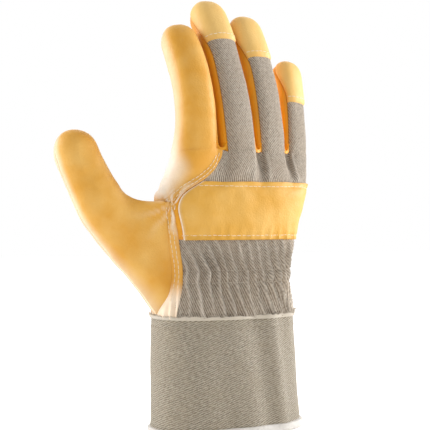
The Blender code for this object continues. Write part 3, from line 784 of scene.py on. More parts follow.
def grain_leather(name, main, light, deep, pale):
    """Dyed cowhide, grain side out: smooth and slightly waxy. Its colour drifts over a few centimetres, and the grain
    is fine pores about a millimetre apart. Where the pale attribute asks, it is painted paler: a painted highlight, and
    on the strap's raw end its paler cut edge. Near the edges of its pieces it is painted deeper: painted shade along
    the seams and edges, with some wear."""
    material, tree = begin_material(name)
    place = node(tree, "TexCoord").outputs["Object"]
    drift = node(tree, "TexNoise", {"Vector": place, "Scale": 1 / 0.020, "Detail": 3.0, "Roughness": 0.5})
    spread = node(tree, "MapRange", {"Value": drift, "From Min": 0.36, "From Max": 0.82})
    blotch = node(tree, "TexNoise", {"Vector": place, "Scale": 1 / 0.005, "Detail": 4.0, "Roughness": 0.6})
    stain = node(tree, "MapRange", {"Value": blotch, "From Min": 0.50, "From Max": 0.80, "To Max": 0.12})
    # Near the edges of each piece the leather is painted deeper: painted shade along seams and edges, with some wear.
    edge = node(tree, "Attribute", attribute_name="edge")
    rubbed = node(tree, "Math", {0: edge.outputs["Fac"], 1: 0.55}, operation="MULTIPLY")
    # The pale attribute paints a highlight on the leather, and marks the paler raw end of the strap.
    lit = node(tree, "Attribute", attribute_name="pale")
    patchy = node(tree, "MapRange", {"Value": blotch, "From Min": 0.25, "From Max": 0.6, "To Min": 0.88, "To Max": 1.0})
    stretched = node(tree, "Math", {0: lit.outputs["Fac"], 1: patchy}, operation="MULTIPLY")
    layers = ((spread, light), (stain, deep), (rubbed, deep), (stretched, pale))
    pores = node(tree, "TexVoronoi", {"Vector": place, "Scale": 1 / 0.0011, "Randomness": 1.0})
    creases = node(tree, "TexNoise", {"Vector": place, "Scale": 1 / 0.0035, "Detail": 5.0, "Roughness": 0.65})
    dents = node(tree, "Math", {0: pores, 1: 0.55}, operation="MULTIPLY")
    height = node(tree, "Math", {0: creases, 1: dents}, operation="ADD")
    wear = node(tree, "MapRange", {"Value": creases, "From Min": 0.3, "From Max": 0.7, "To Min": 0.44, "To Max": 0.62})
    end_material(tree, main, layers, height, (0.55, 0.00035), wear, 0.42, 0.12, 0.4)
    return material


def ribbed_cloth(name, rib, valley, tint, rub, hollows, pitch, slope, wander):
    """Woven cotton whose weave shows as slanting ribs. The real ribs are about 0.6 mm apart and are drawn coarser, at
    pitch, so that they show. Slubs break them into short dashes, and their dark valleys, a little fuzz and faint uneven
    dyeing give the matt, dry look. On its folds the crests are painted paler, a painted highlight, and the hollows
    darker, a painted shade."""
    material, tree = begin_material(name)
    cloth = node(tree, "UVMap", uv_map="cloth").outputs["UV"]
    place = node(tree, "TexCoord").outputs["Object"]
    turned = node(tree, "Mapping", {"Vector": cloth, "Rotation": (0, 0, -math.radians(slope))})
    # A band texture of scale 1 repeats every pi / 10 of its coordinate.
    ribs = node(tree, "TexWave",
                {"Vector": turned, "Scale": math.pi / 10 / pitch, "Distortion": wander, "Detail": 3.0,
                 "Detail Scale": 2.2, "Detail Roughness": 0.6}, wave_type="BANDS", bands_direction="X")
    drawn = node(tree, "Mapping", {"Vector": turned, "Scale": (1 / (0.9 * pitch), 1 / (1.9 * pitch), 1.0)})
    slubs = node(tree, "TexNoise", {"Vector": drawn, "Scale": 1.0, "Detail": 2.5, "Roughness": 0.7})
    fleck = node(tree, "Math", {0: slubs, 1: 2.1}, operation="MULTIPLY")
    height = node(tree, "Math", {0: ribs.outputs["Fac"], 1: fleck}, operation="ADD")
    share = node(tree, "MapRange", {"Value": height, "From Min": 0.85, "From Max": 2.15})
    dye = node(tree, "TexNoise", {"Vector": place, "Scale": 1 / 0.016, "Detail": 4.0, "Roughness": 0.6})
    uneven = node(tree, "MapRange", {"Value": dye, "From Min": 0.35, "From Max": 0.7, "To Max": 0.35})
    # The fold height paints the crests paler, a painted highlight, and the hollows darker, a painted shade.
    fold = node(tree, "Attribute", attribute_name="pale")
    crest = node(tree, "MapRange", {"Value": fold.outputs["Fac"], "From Min": 0.5, "To Max": 0.36})
    hollow = node(tree, "MapRange",
                  {"Value": fold.outputs["Fac"], "From Min": 0.0, "From Max": 0.5, "To Min": hollows, "To Max": 0.0})
    layers = ((share, rib), (uneven, tint), (crest, rub), (hollow, valley))
    end_material(tree, valley, layers, height, (0.9, WEAVE_DEPTH), 0.93, 0.22, 0.25, 0.6)
    return material


def plain_stuff(name, main, shade, grain, depth, roughness, sheen):
    """Soft stuff without a weave that shows: napped lining, rubberised cloth, elastic or thread."""
    material, tree = begin_material(name)
    place = node(tree, "TexCoord").outputs["Object"]
    speck = node(tree, "TexNoise", {"Vector": place, "Scale": 1 / grain, "Detail": 4.0, "Roughness": 0.65})
    share = node(tree, "MapRange", {"Value": speck, "From Min": 0.32, "From Max": 0.68})
    end_material(tree, shade, [(share, main)], speck, (0.7, depth), roughness, 0.3, sheen, 0.6)
    return material


@lru_cache(maxsize=None)
def stuff(kind):
    """The glove's materials, each made the first time it is asked for."""
    c, sizes = bpy.context.scene.glove_colours, bpy.context.scene.glove_sizes
    make, *rest = {
        "hand leather": (grain_leather, "Yellow grain cowhide, hand",
                         c.leather, c.leather_light, c.leather_deep, c.leather_pale),
        "strap leather": (grain_leather, "Yellow grain cowhide, strap",
                          c.strap, c.leather_light, c.strap_edge, c.leather_pale),
        # A lighter part of the hide.
        "tip leather": (grain_leather, "Yellow grain cowhide, fingertips", c.tip, c.tip_light, c.leather,
                        c.leather_pale),
        # Deeper and redder, as light that has bounced between two fingers makes it.
        "wall leather": (grain_leather, "Yellow grain cowhide, finger walls", c.wall, c.leather, c.wall_deep,
                         c.leather_pale),
        # Its fold crests are painted paler and its hollows darker: painted highlight and painted shade.
        "twill": (ribbed_cloth, "Grey-beige cotton twill",
                  c.twill, c.twill_dark, c.twill_tint, c.rubbed, 0.22, sizes.twill_pitch, 34.0, 1.0),
        "canvas": (ribbed_cloth, "Heavy ribbed cuff canvas",
                   c.canvas, c.canvas_dark, c.canvas_tint, c.rubbed, 0.0, sizes.canvas_pitch, -68.0, 2.6),
        # Loose yarn ends: dry, pale and fuzzy.
        "band": (plain_stuff, "Frayed canvas seam allowance", c.band, c.canvas, 0.0009, 0.0006, 0.95, 0.3),
        # Coated cloth: smooth, with a dull gloss and a few scuffs.
        "hem": (plain_stuff, "Rubberised hem cloth", c.hem, c.hem_shade, 0.004, 0.0002, 0.6, 0.05),
        # Brushed up into small tufts.
        "lining": (plain_stuff, "Napped cotton lining", c.lining, c.lining_shade, 0.0016, 0.0005, 0.95, 0.35),
        # Woven flat and tight: even and matt.
        "elastic": (plain_stuff, "Woven elastic tape", c.lining, c.hem_shade, 0.0010, 0.0003, 0.8, 0.1),
        # Twisted filament: slightly shiny.
        "thread": (plain_stuff, "Cream polyester thread", c.thread, c.thread_shade, 0.0006, 0.0001, 0.55, 0.1),
        # Spun thread: matt.
        "dull thread": (plain_stuff, "Stone cotton thread", c.band, c.twill, 0.0006, 0.0001, 0.7, 0.1),
        "cuff thread": (plain_stuff, "Stone cotton thread, cuff", c.canvas, c.canvas_dark, 0.0006, 0.0001, 0.7, 0.1),
    }[kind]
    return make(*rest)


def pale_floor():
    """A matt sweep of paper. The camera sees it a little whiter than the glove does, like the wall behind."""
    colour = bpy.context.scene.glove_colours.floor
    floor = plain_stuff("Pale matt floor", colour, colour, 0.05, 0.0001, 0.9, 0.0)
    tree = floor.node_tree
    shader = next(n for n in tree.nodes if n.type == "BSDF_PRINCIPLED")
    shader.inputs["Emission Color"].default_value = (1.0, 1.0, 1.0, 1.0)
    seen = node(tree, "LightPath").outputs["Is Camera Ray"]
    glow = node(tree, "Math", {0: seen, 1: FLOOR_GLOW_SEEN, 2: FLOOR_GLOW}, operation="MULTIPLY_ADD")
    tree.links.new(glow.outputs[0], shader.inputs["Emission Strength"])
    return floor


def colour_property(name, description, hex_code):
    return FloatVectorProperty(name=name, description=description, default=linear(hex_code), subtype="COLOR",
                               size=3, min=0.0, max=1.0)


class GloveColours(bpy.types.PropertyGroup):
    leather: colour_property("Leather", "Dyed cowhide of the hand and thumb", "#dc9d31")
    leather_light: colour_property("Light leather", "Where the hide took less dye", "#eabb66")
    # Random stains, and near the pieces' edges painted shade with some wear.
    leather_deep: colour_property("Deep leather", "Folded and handled edges", "#cf8f26")
    # Painted highlight on the leather, and the paler raw end of the strap.
    leather_pale: colour_property("Stretched leather", "Where the hide is stretched pale", "#fbf1e2")
    strap: colour_property("Strap leather", "The knuckle strap", "#dda339")
    # Random stains on the strap, and along its edges painted shade with some wear.
    strap_edge: colour_property("Strap edge", "Outside the strap's stitch rows", "#c9921f")
    tip: colour_property("Fingertip leather", "The tip caps", "#e8ba66")
    tip_light: colour_property("Light fingertip leather", "Where the caps took less dye", "#edc67c")
    wall: colour_property("Finger wall leather", "Between the fingers", "#efa412")
    wall_deep: colour_property("Deep finger wall leather", "Folds between the fingers", "#c47a0c")
    twill: colour_property("Twill ribs", "The back's cotton twill", "#d0c3b1")
    twill_dark: colour_property("Twill valleys", "Between the ribs", "#756554")
    twill_tint: colour_property("Twill tint", "Uneven dyeing", "#a69079")
    # Painted highlight on the crests of the cloth's folds.
    rubbed: colour_property("Rubbed cloth", "Crests of folds", "#ded5c8")
    canvas: colour_property("Canvas ribs", "The cuff's canvas", "#c6bba8")
    canvas_dark: colour_property("Canvas valleys", "Between the ribs", "#6f6350")
    canvas_tint: colour_property("Canvas tint", "Uneven dyeing", "#a3947b")
    band: colour_property("Seam band", "The frayed raw edge at the cuff's top", "#bdb2a3")
    hem: colour_property("Hem", "The rubberised hem", "#dcd8d2")
    hem_shade: colour_property("Hem shade", "Scuffs on the hem", "#c6c1ba")
    lining: colour_property("Lining", "Napped cotton", "#e4dccb")
    lining_shade: colour_property("Lining shade", "Between the tufts of nap", "#c9bea8")
    thread: colour_property("Thread", "Sewing thread on leather", "#f6e6cb")
    thread_shade: colour_property("Thread shade", "Twist of the thread", "#e2c89c")
    floor: colour_property("Floor", "What the glove stands on", "#f2f1ef")


def size_property(name, description, default):
    return FloatProperty(name=name, description=description, default=default, unit="LENGTH", subtype="DISTANCE",
                         min=0.00005, max=0.05, precision=5)


class GloveSizes(bpy.types.PropertyGroup):
    leather: size_property("Leather thickness", "Cowhide", 0.0012)
    twill: size_property("Twill thickness", "Cotton twill", 0.0009)
    canvas: size_property("Canvas thickness", "Cuff canvas", 0.0010)
    lining: size_property("Lining thickness", "Napped cotton", 0.0008)
    stitch: size_property("Stitch length", "One stitch of the leather seams", 0.0029)
    stitch_gap: size_property("Stitch gap", "Between two stitches", 0.0004)
    thread: size_property("Thread radius", "Sewing thread", 0.00025)
    twill_pitch: size_property("Twill rib pitch", "Distance between the ribs as drawn", 0.00115)
    canvas_pitch: size_property("Canvas rib pitch", "Distance between the cuff's ribs as drawn", 0.00125)


# ---------------------------------------------------------------------------------------------------------------
# Pieces


def between(edges, first, last):
    """Lays a grid between two edges from first to last. edges gives both for a place along."""

    def place(column, row):
        along = first + (last - first) * row
        low, high = edges(along)
        return low + (high - low) * column, along

    return place


def on_hand(edges, heights):
    """The same on the hand, evenly spaced by girth. An edge is an angle or a function of height."""

    def place(column, row):
        z = heights[0] + (heights[1] - heights[0]) * row
        low, high = (girth(edge(z) if callable(edge) else edge) for edge in edges)
        return angle_at(low + (high - low) * column), z

    return place


def hand_weave(angle, z):
    return girth(angle), z


class GLOVE_OT_cuff(bpy.types.Operator):
    """Make the canvas cuff, its liner, its hem and the frayed seam band at its top"""

    bl_idname = "glove.cuff"
    bl_label = "Cuff"

    def execute(self, context):
        sizes = context.scene.glove_sizes
        around = [k / 150 for k in range(151)]
        top = CUFF_HEIGHT - 0.0006

        def all_round(z):
            return 0.0, 360.0

        def weave(angle, z):
            return 0.0, z

        shared = {"rims": "bt", "weave": weave, "closed": True}
        sheet("Cuff_canvas", Skin(cuff_surface, cuff_folds), between(all_round, 0.0022, top), around,
              ticks(0.070, 0.0016), sizes.canvas, "canvas", "canvas", ["cuff_canvas"], **shared)
        sheet("Cuff_liner", Skin(cuff_surface, cuff_folds, -0.0014), between(all_round, 0.0024, top), around,
              ticks(0.070, 0.0035), LINER, "hem", "liner", ["cuff_liner"], **shared)

        height = HEM_HIGH[2] - HEM_LOW[2]
        outer, inner, lip, fold = 0.0009, -0.0036, 0.0007, 0.0011
        # (height, how far out) round the hem's section, from its top edge outside, under it, to the top inside.
        path = [(height, -0.0003), (height * 0.93, outer - 0.0002), (height * 0.66, outer), (height * 0.33, outer),
                (fold, outer), (0.0003, outer - lip * 0.4), (0.0, outer - lip * 1.4), (0.0, inner + lip * 1.4),
                (0.0003, inner + lip * 0.4), (fold, inner), (height * 0.5, inner), (height, inner + 0.0002)]

        def hem_surface(angle, along):
            at = min(max(along, 0.0), 0.99999) * (len(path) - 1)
            k = int(at)
            z = path[k][0] + (path[k + 1][0] - path[k][0]) * (at - k)
            # It is narrower on the thumb side.
            rise = 0.50 - 0.18 * math.cos(math.radians(angle))
            z = min(z, fold) + max(z - fold, 0.0) * rise
            out = path[k][1] + (path[k + 1][1] - path[k][1]) * (at - k)
            ripple_up = 0.0003 * math.sin(math.radians(angle * 5.0)) * eased(z / height)
            flat = cuff_surface(angle, max(z, 0.0)) - at_centre(0.0, 0.0, max(z, 0.0))
            folded = out + cuff_folds(angle, 0.004) * (1.0 if out > 0 else 0.4) * eased(z / height + 0.3)
            return at_centre(0.0, 0.0, max(z + ripple_up, 0.0)) + flat + flat.normalized() * folded

        bm = bmesh.new()
        bmesh.ops.create_grid(bm, x_segments=150, y_segments=len(path) - 1, size=0.5)
        for vert in bm.verts:
            vert.co = hem_surface(360.0 * (vert.co.x + 0.5), vert.co.y + 0.5)
        bmesh.ops.remove_doubles(bm, verts=bm.verts, dist=2e-6)
        bmesh.ops.recalc_face_normals(bm, faces=bm.faces)
        bmesh.ops.solidify(bm, geom=list(bm.faces), thickness=-LINER)
        hem = solid("Cuff_hem", bm, "hem", ["cuff_hem_binding"])
        # It stands flat on the floor.
        low = min(v.co.z for v in hem.data.vertices)
        for vert in hem.data.vertices:
            vert.co.z -= low * max(1.0 - vert.co.z / 0.004, 0.0)

        def band_folds(angle, z):
            point = cuff_surface(angle, z)
            tab = hill((angle % 360.0) - TAB_ANGLE, 4.0)
            share = (z - (CUFF_HEIGHT - BAND)) / BAND
            out = cuff_folds(angle, z) + 0.0004 * ripple(point, 0.004, 3.0) * share
            return out + 0.0006 * share + 0.0018 * tab * share

        def band_place(column, row):
            angle = 360.0 * column
            point = cuff_surface(angle, CUFF_HEIGHT)
            fray = 0.0009 * ripple(point, 0.0020, 1.0) + 0.0005 * ripple(point, 0.012, 5.0)
            tab = 0.0012 * hill(angle - TAB_ANGLE, 4.0)
            return angle, CUFF_HEIGHT - BAND + (BAND + 0.0003 + fray + tab) * row

        sheet("Cuff_seam_band", Skin(cuff_surface, band_folds, 0.0009), band_place, [k / 300 for k in range(301)],
              [0.0, 0.12, 0.3, 0.5, 0.7, 0.88, 1.0], 0.0011, "band", "canvas", ["cuff_seam_band"], rim=0.0005,
              **shared)

        # Loose yarn ends along the raw edge.
        bm = bmesh.new()
        for k in range(YARN_ENDS):
            angle = 360.0 * k / YARN_ENDS + 0.9 * noise.noise(Vector((k * 1.7, 0.3, 0.1)))
            lean = noise.noise(Vector((k * 0.9, 5.3, 2.1)))
            tall = 0.0009 + 0.0011 * abs(noise.noise(Vector((k * 2.3, 7.7, 4.2))))
            angle_step = angle + 2.2 * lean
            low = band_place(angle / 360.0 % 1.0, 0.93)
            root = cuff_surface(*low) + (cuff_surface(*low) - at_centre(0, 0, low[1])).normalized() * (
                0.0005 + band_folds(*low))
            outward = (cuff_surface(angle_step, low[1]) - at_centre(0, 0, low[1])).normalized()
            tip = root + Vector((0, 0, tall)) + outward * 0.0006 * (0.5 + lean) + (
                cuff_surface(angle_step, low[1]) - cuff_surface(angle, low[1])) * 0.6
            ahead = tip - root
            turn = ahead.to_track_quat("Z", "Y").to_matrix().to_4x4()
            bmesh.ops.create_cone(
                bm, cap_ends=True, segments=5, radius1=0.00017, radius2=0.00005, depth=ahead.length,
                matrix=Matrix.Translation((root + tip) / 2) @ turn)
        solid("Frayed_yarn_ends", bm, "band")
        return {"FINISHED"}


class GLOVE_OT_hand(bpy.types.Operator):
    """Make the palm and thumb-side leather, the twill back, the knuckle strap, the elastic and the linings"""

    bl_idname = "glove.hand"
    bl_label = "Hand"

    def execute(self, context):
        sizes = context.scene.glove_sizes
        bottom = CUFF_HEIGHT - 0.0012
        palm_columns, notch_columns, strip_columns = 78, 22, 16
        low_rows, high_rows = 52, 24
        columns = palm_columns + notch_columns + strip_columns
        rows = low_rows + high_rows

        def place(column, row):
            """Three ranges of columns: the palm, the notch that the thumb is sewn into, and the strip on the back."""
            step = row * rows
            if step <= low_rows:
                z = bottom + (NOTCH_TOP - bottom) * step / low_rows
            else:
                z = NOTCH_TOP + (KNUCKLE - NOTCH_TOP) * (step - low_rows) / high_rows
            palm_edge, back_edge = notch_edges(z)
            marks = (OUTER_SEAM, 360.0 + palm_edge, 360.0 + back_edge, 360.0 + leather_edge(z))
            at = column * columns
            if at <= palm_columns:
                t, low, high = at / palm_columns, marks[0], marks[1]
            elif at <= palm_columns + notch_columns:
                t, low, high = (at - palm_columns) / notch_columns, marks[1], marks[2]
            else:
                t, low, high = (at - palm_columns - notch_columns) / strip_columns, marks[2], marks[3]
                t = 1.0 - (1.0 - t) ** 1.35
            return low + (high - low) * t, z

        def keep(column, row):
            in_notch = palm_columns <= column < palm_columns + notch_columns
            return not (in_notch and row < low_rows)

        # Painted highlights on the hand leather: on the fold at the wrist under the thumb, on the web and rim of the
        # thumb side, and on the crests of the wrinkles that fan from the seam junction.
        def pale(angle, z):
            around = angle % 360.0
            if 200.0 < around < 320.0:
                return 0.0
            signed = around if around < 180.0 else around - 360.0
            wrist = eased((0.096 - z) / 0.014) * eased((46.0 - signed) / 10.0) * eased((signed + 20.0) / 14.0)
            point = hand_surface(angle, z)
            web = eased((z - 0.1435) / 0.004) * painted_rim_highlight(point, hand_surface(0.0, z), z)
            fan = 0.9 * max(junction_wrinkles(point), 0.0) / WRINKLE
            return min(max(0.72 * wrist, web, fan), 1.0)

        sheet("Palm_and_thumb_side_leather", Skin(hand_surface, hand_leather_folds), place,
              [k / columns for k in range(columns + 1)], [k / rows for k in range(rows + 1)], sizes.leather,
              "hand leather", "leather", ["palm_leather"], keep=keep, rims="r", rim=RAW_RIM, pale=pale, held="folded")

        def under_leather(z):
            return leather_edge(z) - 5.0

        def panel(name, folds, lift, edges, heights, columns, rows, thickness, kind, slot, replaced=(), **more):
            """A sheet between two edges and two heights. columns and rows are its own length and the step in it."""
            sheet(name, Skin(hand_surface, folds, lift), on_hand(edges, heights), ticks(*columns), ticks(*rows),
                  thickness, kind, slot, replaced, **more)

        # On the twill the pale attribute is the fold height: its crests get a painted highlight and its hollows painted
        # shade.
        panel("Upper_back_twill", upper_back_folds, 0.0, (under_leather, OUTER_SEAM), (0.1500, KNUCKLE),
              (0.100, 0.0010), (0.025, 0.0010), sizes.twill, "twill", "twill", ["upper_back_twill"], rims="r",
              weave=hand_weave, pale=lambda angle, z: 0.5 + upper_back_folds(angle, z) / 0.0040)
        panel("Lower_back_twill", lower_back_folds, 0.0, (under_leather, OUTER_SEAM), (CUFF_HEIGHT - 0.0010, 0.1245),
              (0.100, 0.0007), (0.052, 0.0010), sizes.twill, "twill", "twill", ["lower_back_twill"], rims="r",
              weave=hand_weave, held="gathered", fullness=GATHER,
              pale=lambda angle, z: 0.5 + pleats(angle, z) / 0.0036)

        def strap_left(z):
            return leather_edge(z) + 1.0 + 5.0 * eased((STRAP_TOP - 0.004 - z) / 0.026)

        def raw_end(angle, z):
            return 0.9 * eased(1.0 - (girth(angle) - girth(strap_left(z)) - 0.0004) / 0.0010)

        panel("Knuckle_strap", strap_folds, STRAP_LIFT, (strap_left, OUTER_SEAM), (STRAP_BOTTOM, STRAP_TOP),
              (0.098, 0.0014), (0.036, 0.0010), sizes.leather, "strap leather", "leather", ["knuckle_strap"],
              rims="lbt", rim=RAW_RIM, pale=raw_end)
        # The strap's underlay shows between its raw end and the seam, in the deeper and redder wall leather: painted
        # shade of that gap.
        panel("Strap_underlay", None, 0.0004, (under_leather, lambda z: leather_edge(z) + 9.0),
              (STRAP_BOTTOM + 0.0004, STRAP_TOP - 0.001), (0.010, 0.0012), (0.034, 0.0020), 0.0010, "wall leather",
              "leather")
        panel("Wrist_elastic", None, -0.0017, (44.0, OUTER_SEAM - 6.0),
              (ELASTIC_ROWS[0] - 0.001, ELASTIC_ROWS[1] + 0.001), (0.080, 0.0025), (0.0095, 0.0015), 0.0010,
              "elastic", "elastic", ["wrist_elastic"])
        panel("Palm_lining", None, LINING_LIFT, (OUTER_SEAM + 6.0, lambda z: 354.0 + notch_edges(z)[0]),
              (CUFF_HEIGHT + 0.003, 0.171), (0.080, 0.0030), (0.098, 0.0035), sizes.lining, "lining", "lining",
              ["palm_lining"])
        panel("Pulse_patch", hand_leather_folds, PATCH_LIFT, (214.0, lambda z: 350.0 + notch_edges(z)[0]),
              (CUFF_HEIGHT + 0.0015, PATCH_TOP), (0.062, 0.0016), (0.031, 0.0014), sizes.leather, "hand leather",
              "leather", ["pulse_patch"], rim=RAW_RIM)

        for name, following in zip(ORDER, ORDER[1:]):
            bm = bmesh.new()
            bmesh.ops.create_grid(bm, x_segments=12, y_segments=14, size=0.5)
            for vert in bm.verts:
                share, deep = vert.co.x + 0.5, BACK_TO + (FRONT_FROM - BACK_TO) * (vert.co.y + 0.5)
                start = 0.0064 if name == "index" else 0.0056
                near = finger_surface(name, deep, start) + Vector((-0.0004, 0, 0))
                far = finger_surface(following, 180.0 - deep, start) + Vector((0.0004, 0, 0))
                sag = 0.0050 * (1.0 - abs(2.0 * share - 1.0) ** 2.4)
                vert.co = near.lerp(far, share) - Vector((0, 0, sag))
            bmesh.ops.recalc_face_normals(bm, faces=bm.faces)
            if sum(face.normal.z for face in bm.faces) < 0:
                bmesh.ops.reverse_faces(bm, faces=bm.faces)
            bmesh.ops.solidify(bm, geom=list(bm.faces), thickness=sizes.leather + 0.0006)
            solid(f"Gusset_{name}_{following}", bm, "wall leather", [f"crotch_tab_{name}_{following}"])
        return {"FINISHED"}


def strip_ranges(name):
    """The edges of a finger's strips at a place along it. The side walls narrow to a point at the tip."""
    length = FINGERS[name].length

    def wall(low, high):
        def edges(along):
            t = eased((along / length - 0.55) / 0.38)
            half = (high - low) / 2 * (1.0 - 0.80 * t)
            middle = (low + high) / 2 + (-12.0 if low < 0 else 6.0) * t
            return middle - half, middle + half

        return edges

    inner, plain_outer = wall(-BACK_FROM, BACK_FROM), wall(BACK_TO, FRONT_FROM)

    def outer(along):
        # The back reaches further round to this side above the root.
        low, high = plain_outer(along)
        return low + 20.0 * eased(along / 0.020) * (high - low) / (FRONT_FROM - BACK_TO), high

    back_end = (lambda along: OUTER_SEAM) if name == "little" else (lambda along: outer(along)[0])
    front_start = (lambda along: OUTER_SEAM) if name == "little" else (lambda along: outer(along)[1])
    return {
        "inner": inner,
        "outer": outer,
        "back": lambda along: (inner(along)[1], back_end(along)),
        "front": lambda along: (front_start(along), inner(along)[0] + 360.0),
        "wrap": lambda along: (outer(along)[1], outer(along)[0] + 360.0),
    }


def finger_weave(name):
    """The cloth's coordinates where a strip of a finger starts, running on from the hand's."""
    mark = next(hand for hand, finger, angle in MARKS if finger == name and angle == BACK_FROM)

    def weave(angle, along):
        return girth(mark) + math.radians(angle - BACK_FROM) * FINGERS[name].half_depth, KNUCKLE + along

    return weave


class GLOVE_OT_fingers(bpy.types.Operator):
    """Make the four fingers: twill backs, leather tip caps, fronts, side walls and linings"""

    bl_idname = "glove.fingers"
    bl_label = "Fingers"

    def execute(self, context):
        sizes = context.scene.glove_sizes
        for name in ORDER:
            length, cap = FINGERS[name].length, FINGERS[name].cap
            tip = finger_axis(name, length)[3]

            surface, folds = partial(finger_surface, name), finger_folds(name)
            strips = strip_ranges(name)

            def rows_to(end, step=0.0016, first=0.0):
                """Rows of about one length, closer over the rounded tip."""
                count = round((end - first) / step)
                return [1.0 - (1.0 - k / count) ** 1.25 for k in range(count + 1)]

            skin = Skin(surface, folds, tip=tip, length=length)
            title = name.capitalize()

            def strip(label, skin, edges, first, last, width, thickness, kind, node_name, slot, rims="lr", roll=0.0006,
                      **more):
                rows = rows_to(last, first=first)
                if first < 0.0:  # at the root, where it is tucked under the hand's cloth
                    rows[1:1] = [ROOT_LAP / (last - first), 1.4 * ROOT_LAP / (last - first)]
                    more["tuck"] = thickness + 0.0001
                sheet(f"{title}_{label}", skin, between(strips[edges], first, last),
                      ticks(width, 0.0012, SEAM_TICKS), rows, thickness, kind, slot, [f"{name}_{node_name}"],
                      name, rims=rims, roll=roll, **more)

            # The index leather's rim on the thumb side is painted paler: a painted highlight.
            def rim(angle, along):
                return painted_rim_highlight(surface(angle, along), surface(0.0, along), KNUCKLE + along)

            def side_wall(label, edges):
                strip(f"{label}_side_wall", skin, edges, -ROOT_LAP, length, 0.014, sizes.leather, "wall leather",
                      f"{label}_side_fourchette", "leather")

            if name == "index":
                strip("leather", skin, "wrap", -ROOT_LAP, length, 0.062, sizes.leather, "hand leather",
                      "wrap_leather", "leather", pale=rim)
            else:
                strip("back_twill", skin, "back", -ROOT_LAP, cap + 0.006, 0.027 if name == "little" else 0.021,
                      sizes.twill, "twill", "back_twill", "twill", weave=finger_weave(name))
                strip("tip_cap", Skin(surface, folds, CAP_LIFT, tip=tip, length=length), "back", cap, length, 0.024,
                      sizes.leather, "tip leather", "tip_cap", "leather", rims="lrb", roll=0.0005, rim=0.0006)
                strip("front_leather", skin, "front", -ROOT_LAP, length, 0.024, sizes.leather, "hand leather",
                      "front_leather", "leather")
                side_wall("thumb", "inner")
            if name != "little":
                side_wall("outer", "outer")

            def lining_edges(along):
                low, high = strips["front"](along)
                return low + 4.0, high - 4.0

            sheet(f"{title}_lining", Skin(surface, None, FINGER_LINING_LIFT),
                  between(lining_edges, 0.002, length - 0.012), ticks(0.018, 0.0025),
                  rows_to(length - 0.014, 0.003), sizes.lining, "lining", "lining", [f"{name}_lining"], name)
        return {"FINISHED"}


class GLOVE_OT_thumb(bpy.types.Operator):
    """Make the thumb's back and front leather and its lining"""

    bl_idname = "glove.thumb"
    bl_label = "Thumb"

    def execute(self, context):
        sizes = context.scene.glove_sizes
        tip = thumb_axis(THUMB_LENGTH - THUMB_ROOT_LENGTH)[3]
        skin = Skin(thumb_surface, thumb_folds, across_step=0.002, tip=tip, length=THUMB_LENGTH)

        # Painted highlights on the thumb: along its outer rim, and on the crests of the wrinkles from the seam
        # junction.
        def pale(share, along):
            turn = thumb_turn(share % 1.0)
            point = thumb_surface(share, along)
            rim = 0.5 * eased((abs(turn) - 146.0) / 30.0)
            fan = 0.3 * max(junction_wrinkles(point), 0.0) / WRINKLE
            return max(rim, fan)

        def seam(along):
            # The seam on the inner side turns a little onto the back towards the tip.
            return THUMB_INNER - 0.035 * eased((along - 0.030) / 0.030)

        rows = [1.0 - (1.0 - k / 64) ** 1.2 for k in range(65)]
        columns = ticks(0.052, 0.0013, SEAM_TICKS)
        halves = {
            "back": lambda along: (THUMB_OUTER - 1.0, seam(along)),
            "front": lambda along: (seam(along), THUMB_OUTER),
        }
        for label, edges in halves.items():
            sheet(f"Thumb_{label}_leather", skin, between(edges, 0.0, THUMB_LENGTH), columns, rows, sizes.leather,
                  "hand leather", "leather", [f"thumb_{label}_leather"], "thumb", rims="lr", roll=0.0005, pale=pale)
        sheet("Thumb_lining", Skin(thumb_surface, None, LINING_LIFT, across_step=0.002),
              between(lambda along: (THUMB_INNER + 0.05, THUMB_OUTER - 0.05), 0.009, THUMB_LENGTH - 0.013),
              ticks(0.030, 0.003), ticks(0.080, 0.004), sizes.lining, "lining", "lining", ["thumb_lining"], "thumb")
        return {"FINISHED"}


def beside_edge(offset, low, high, count=120):
    """Places on the hand that keep a distance to the left of the leather's edge on the back."""
    spots = []
    for k in range(count + 1):
        z = low + (high - low) * k / count
        scale = (girth(leather_edge(z) + 1.0) - girth(leather_edge(z) - 1.0)) / 2
        slope = (leather_edge(z + 0.0005) - leather_edge(z - 0.0005)) / 0.001 * scale
        length = math.hypot(slope, 1.0)
        spots.append((leather_edge(z) - offset / length / scale, z + offset * slope / length))
    return [spot for spot in spots if spot[1] < KNUCKLE - 0.001]


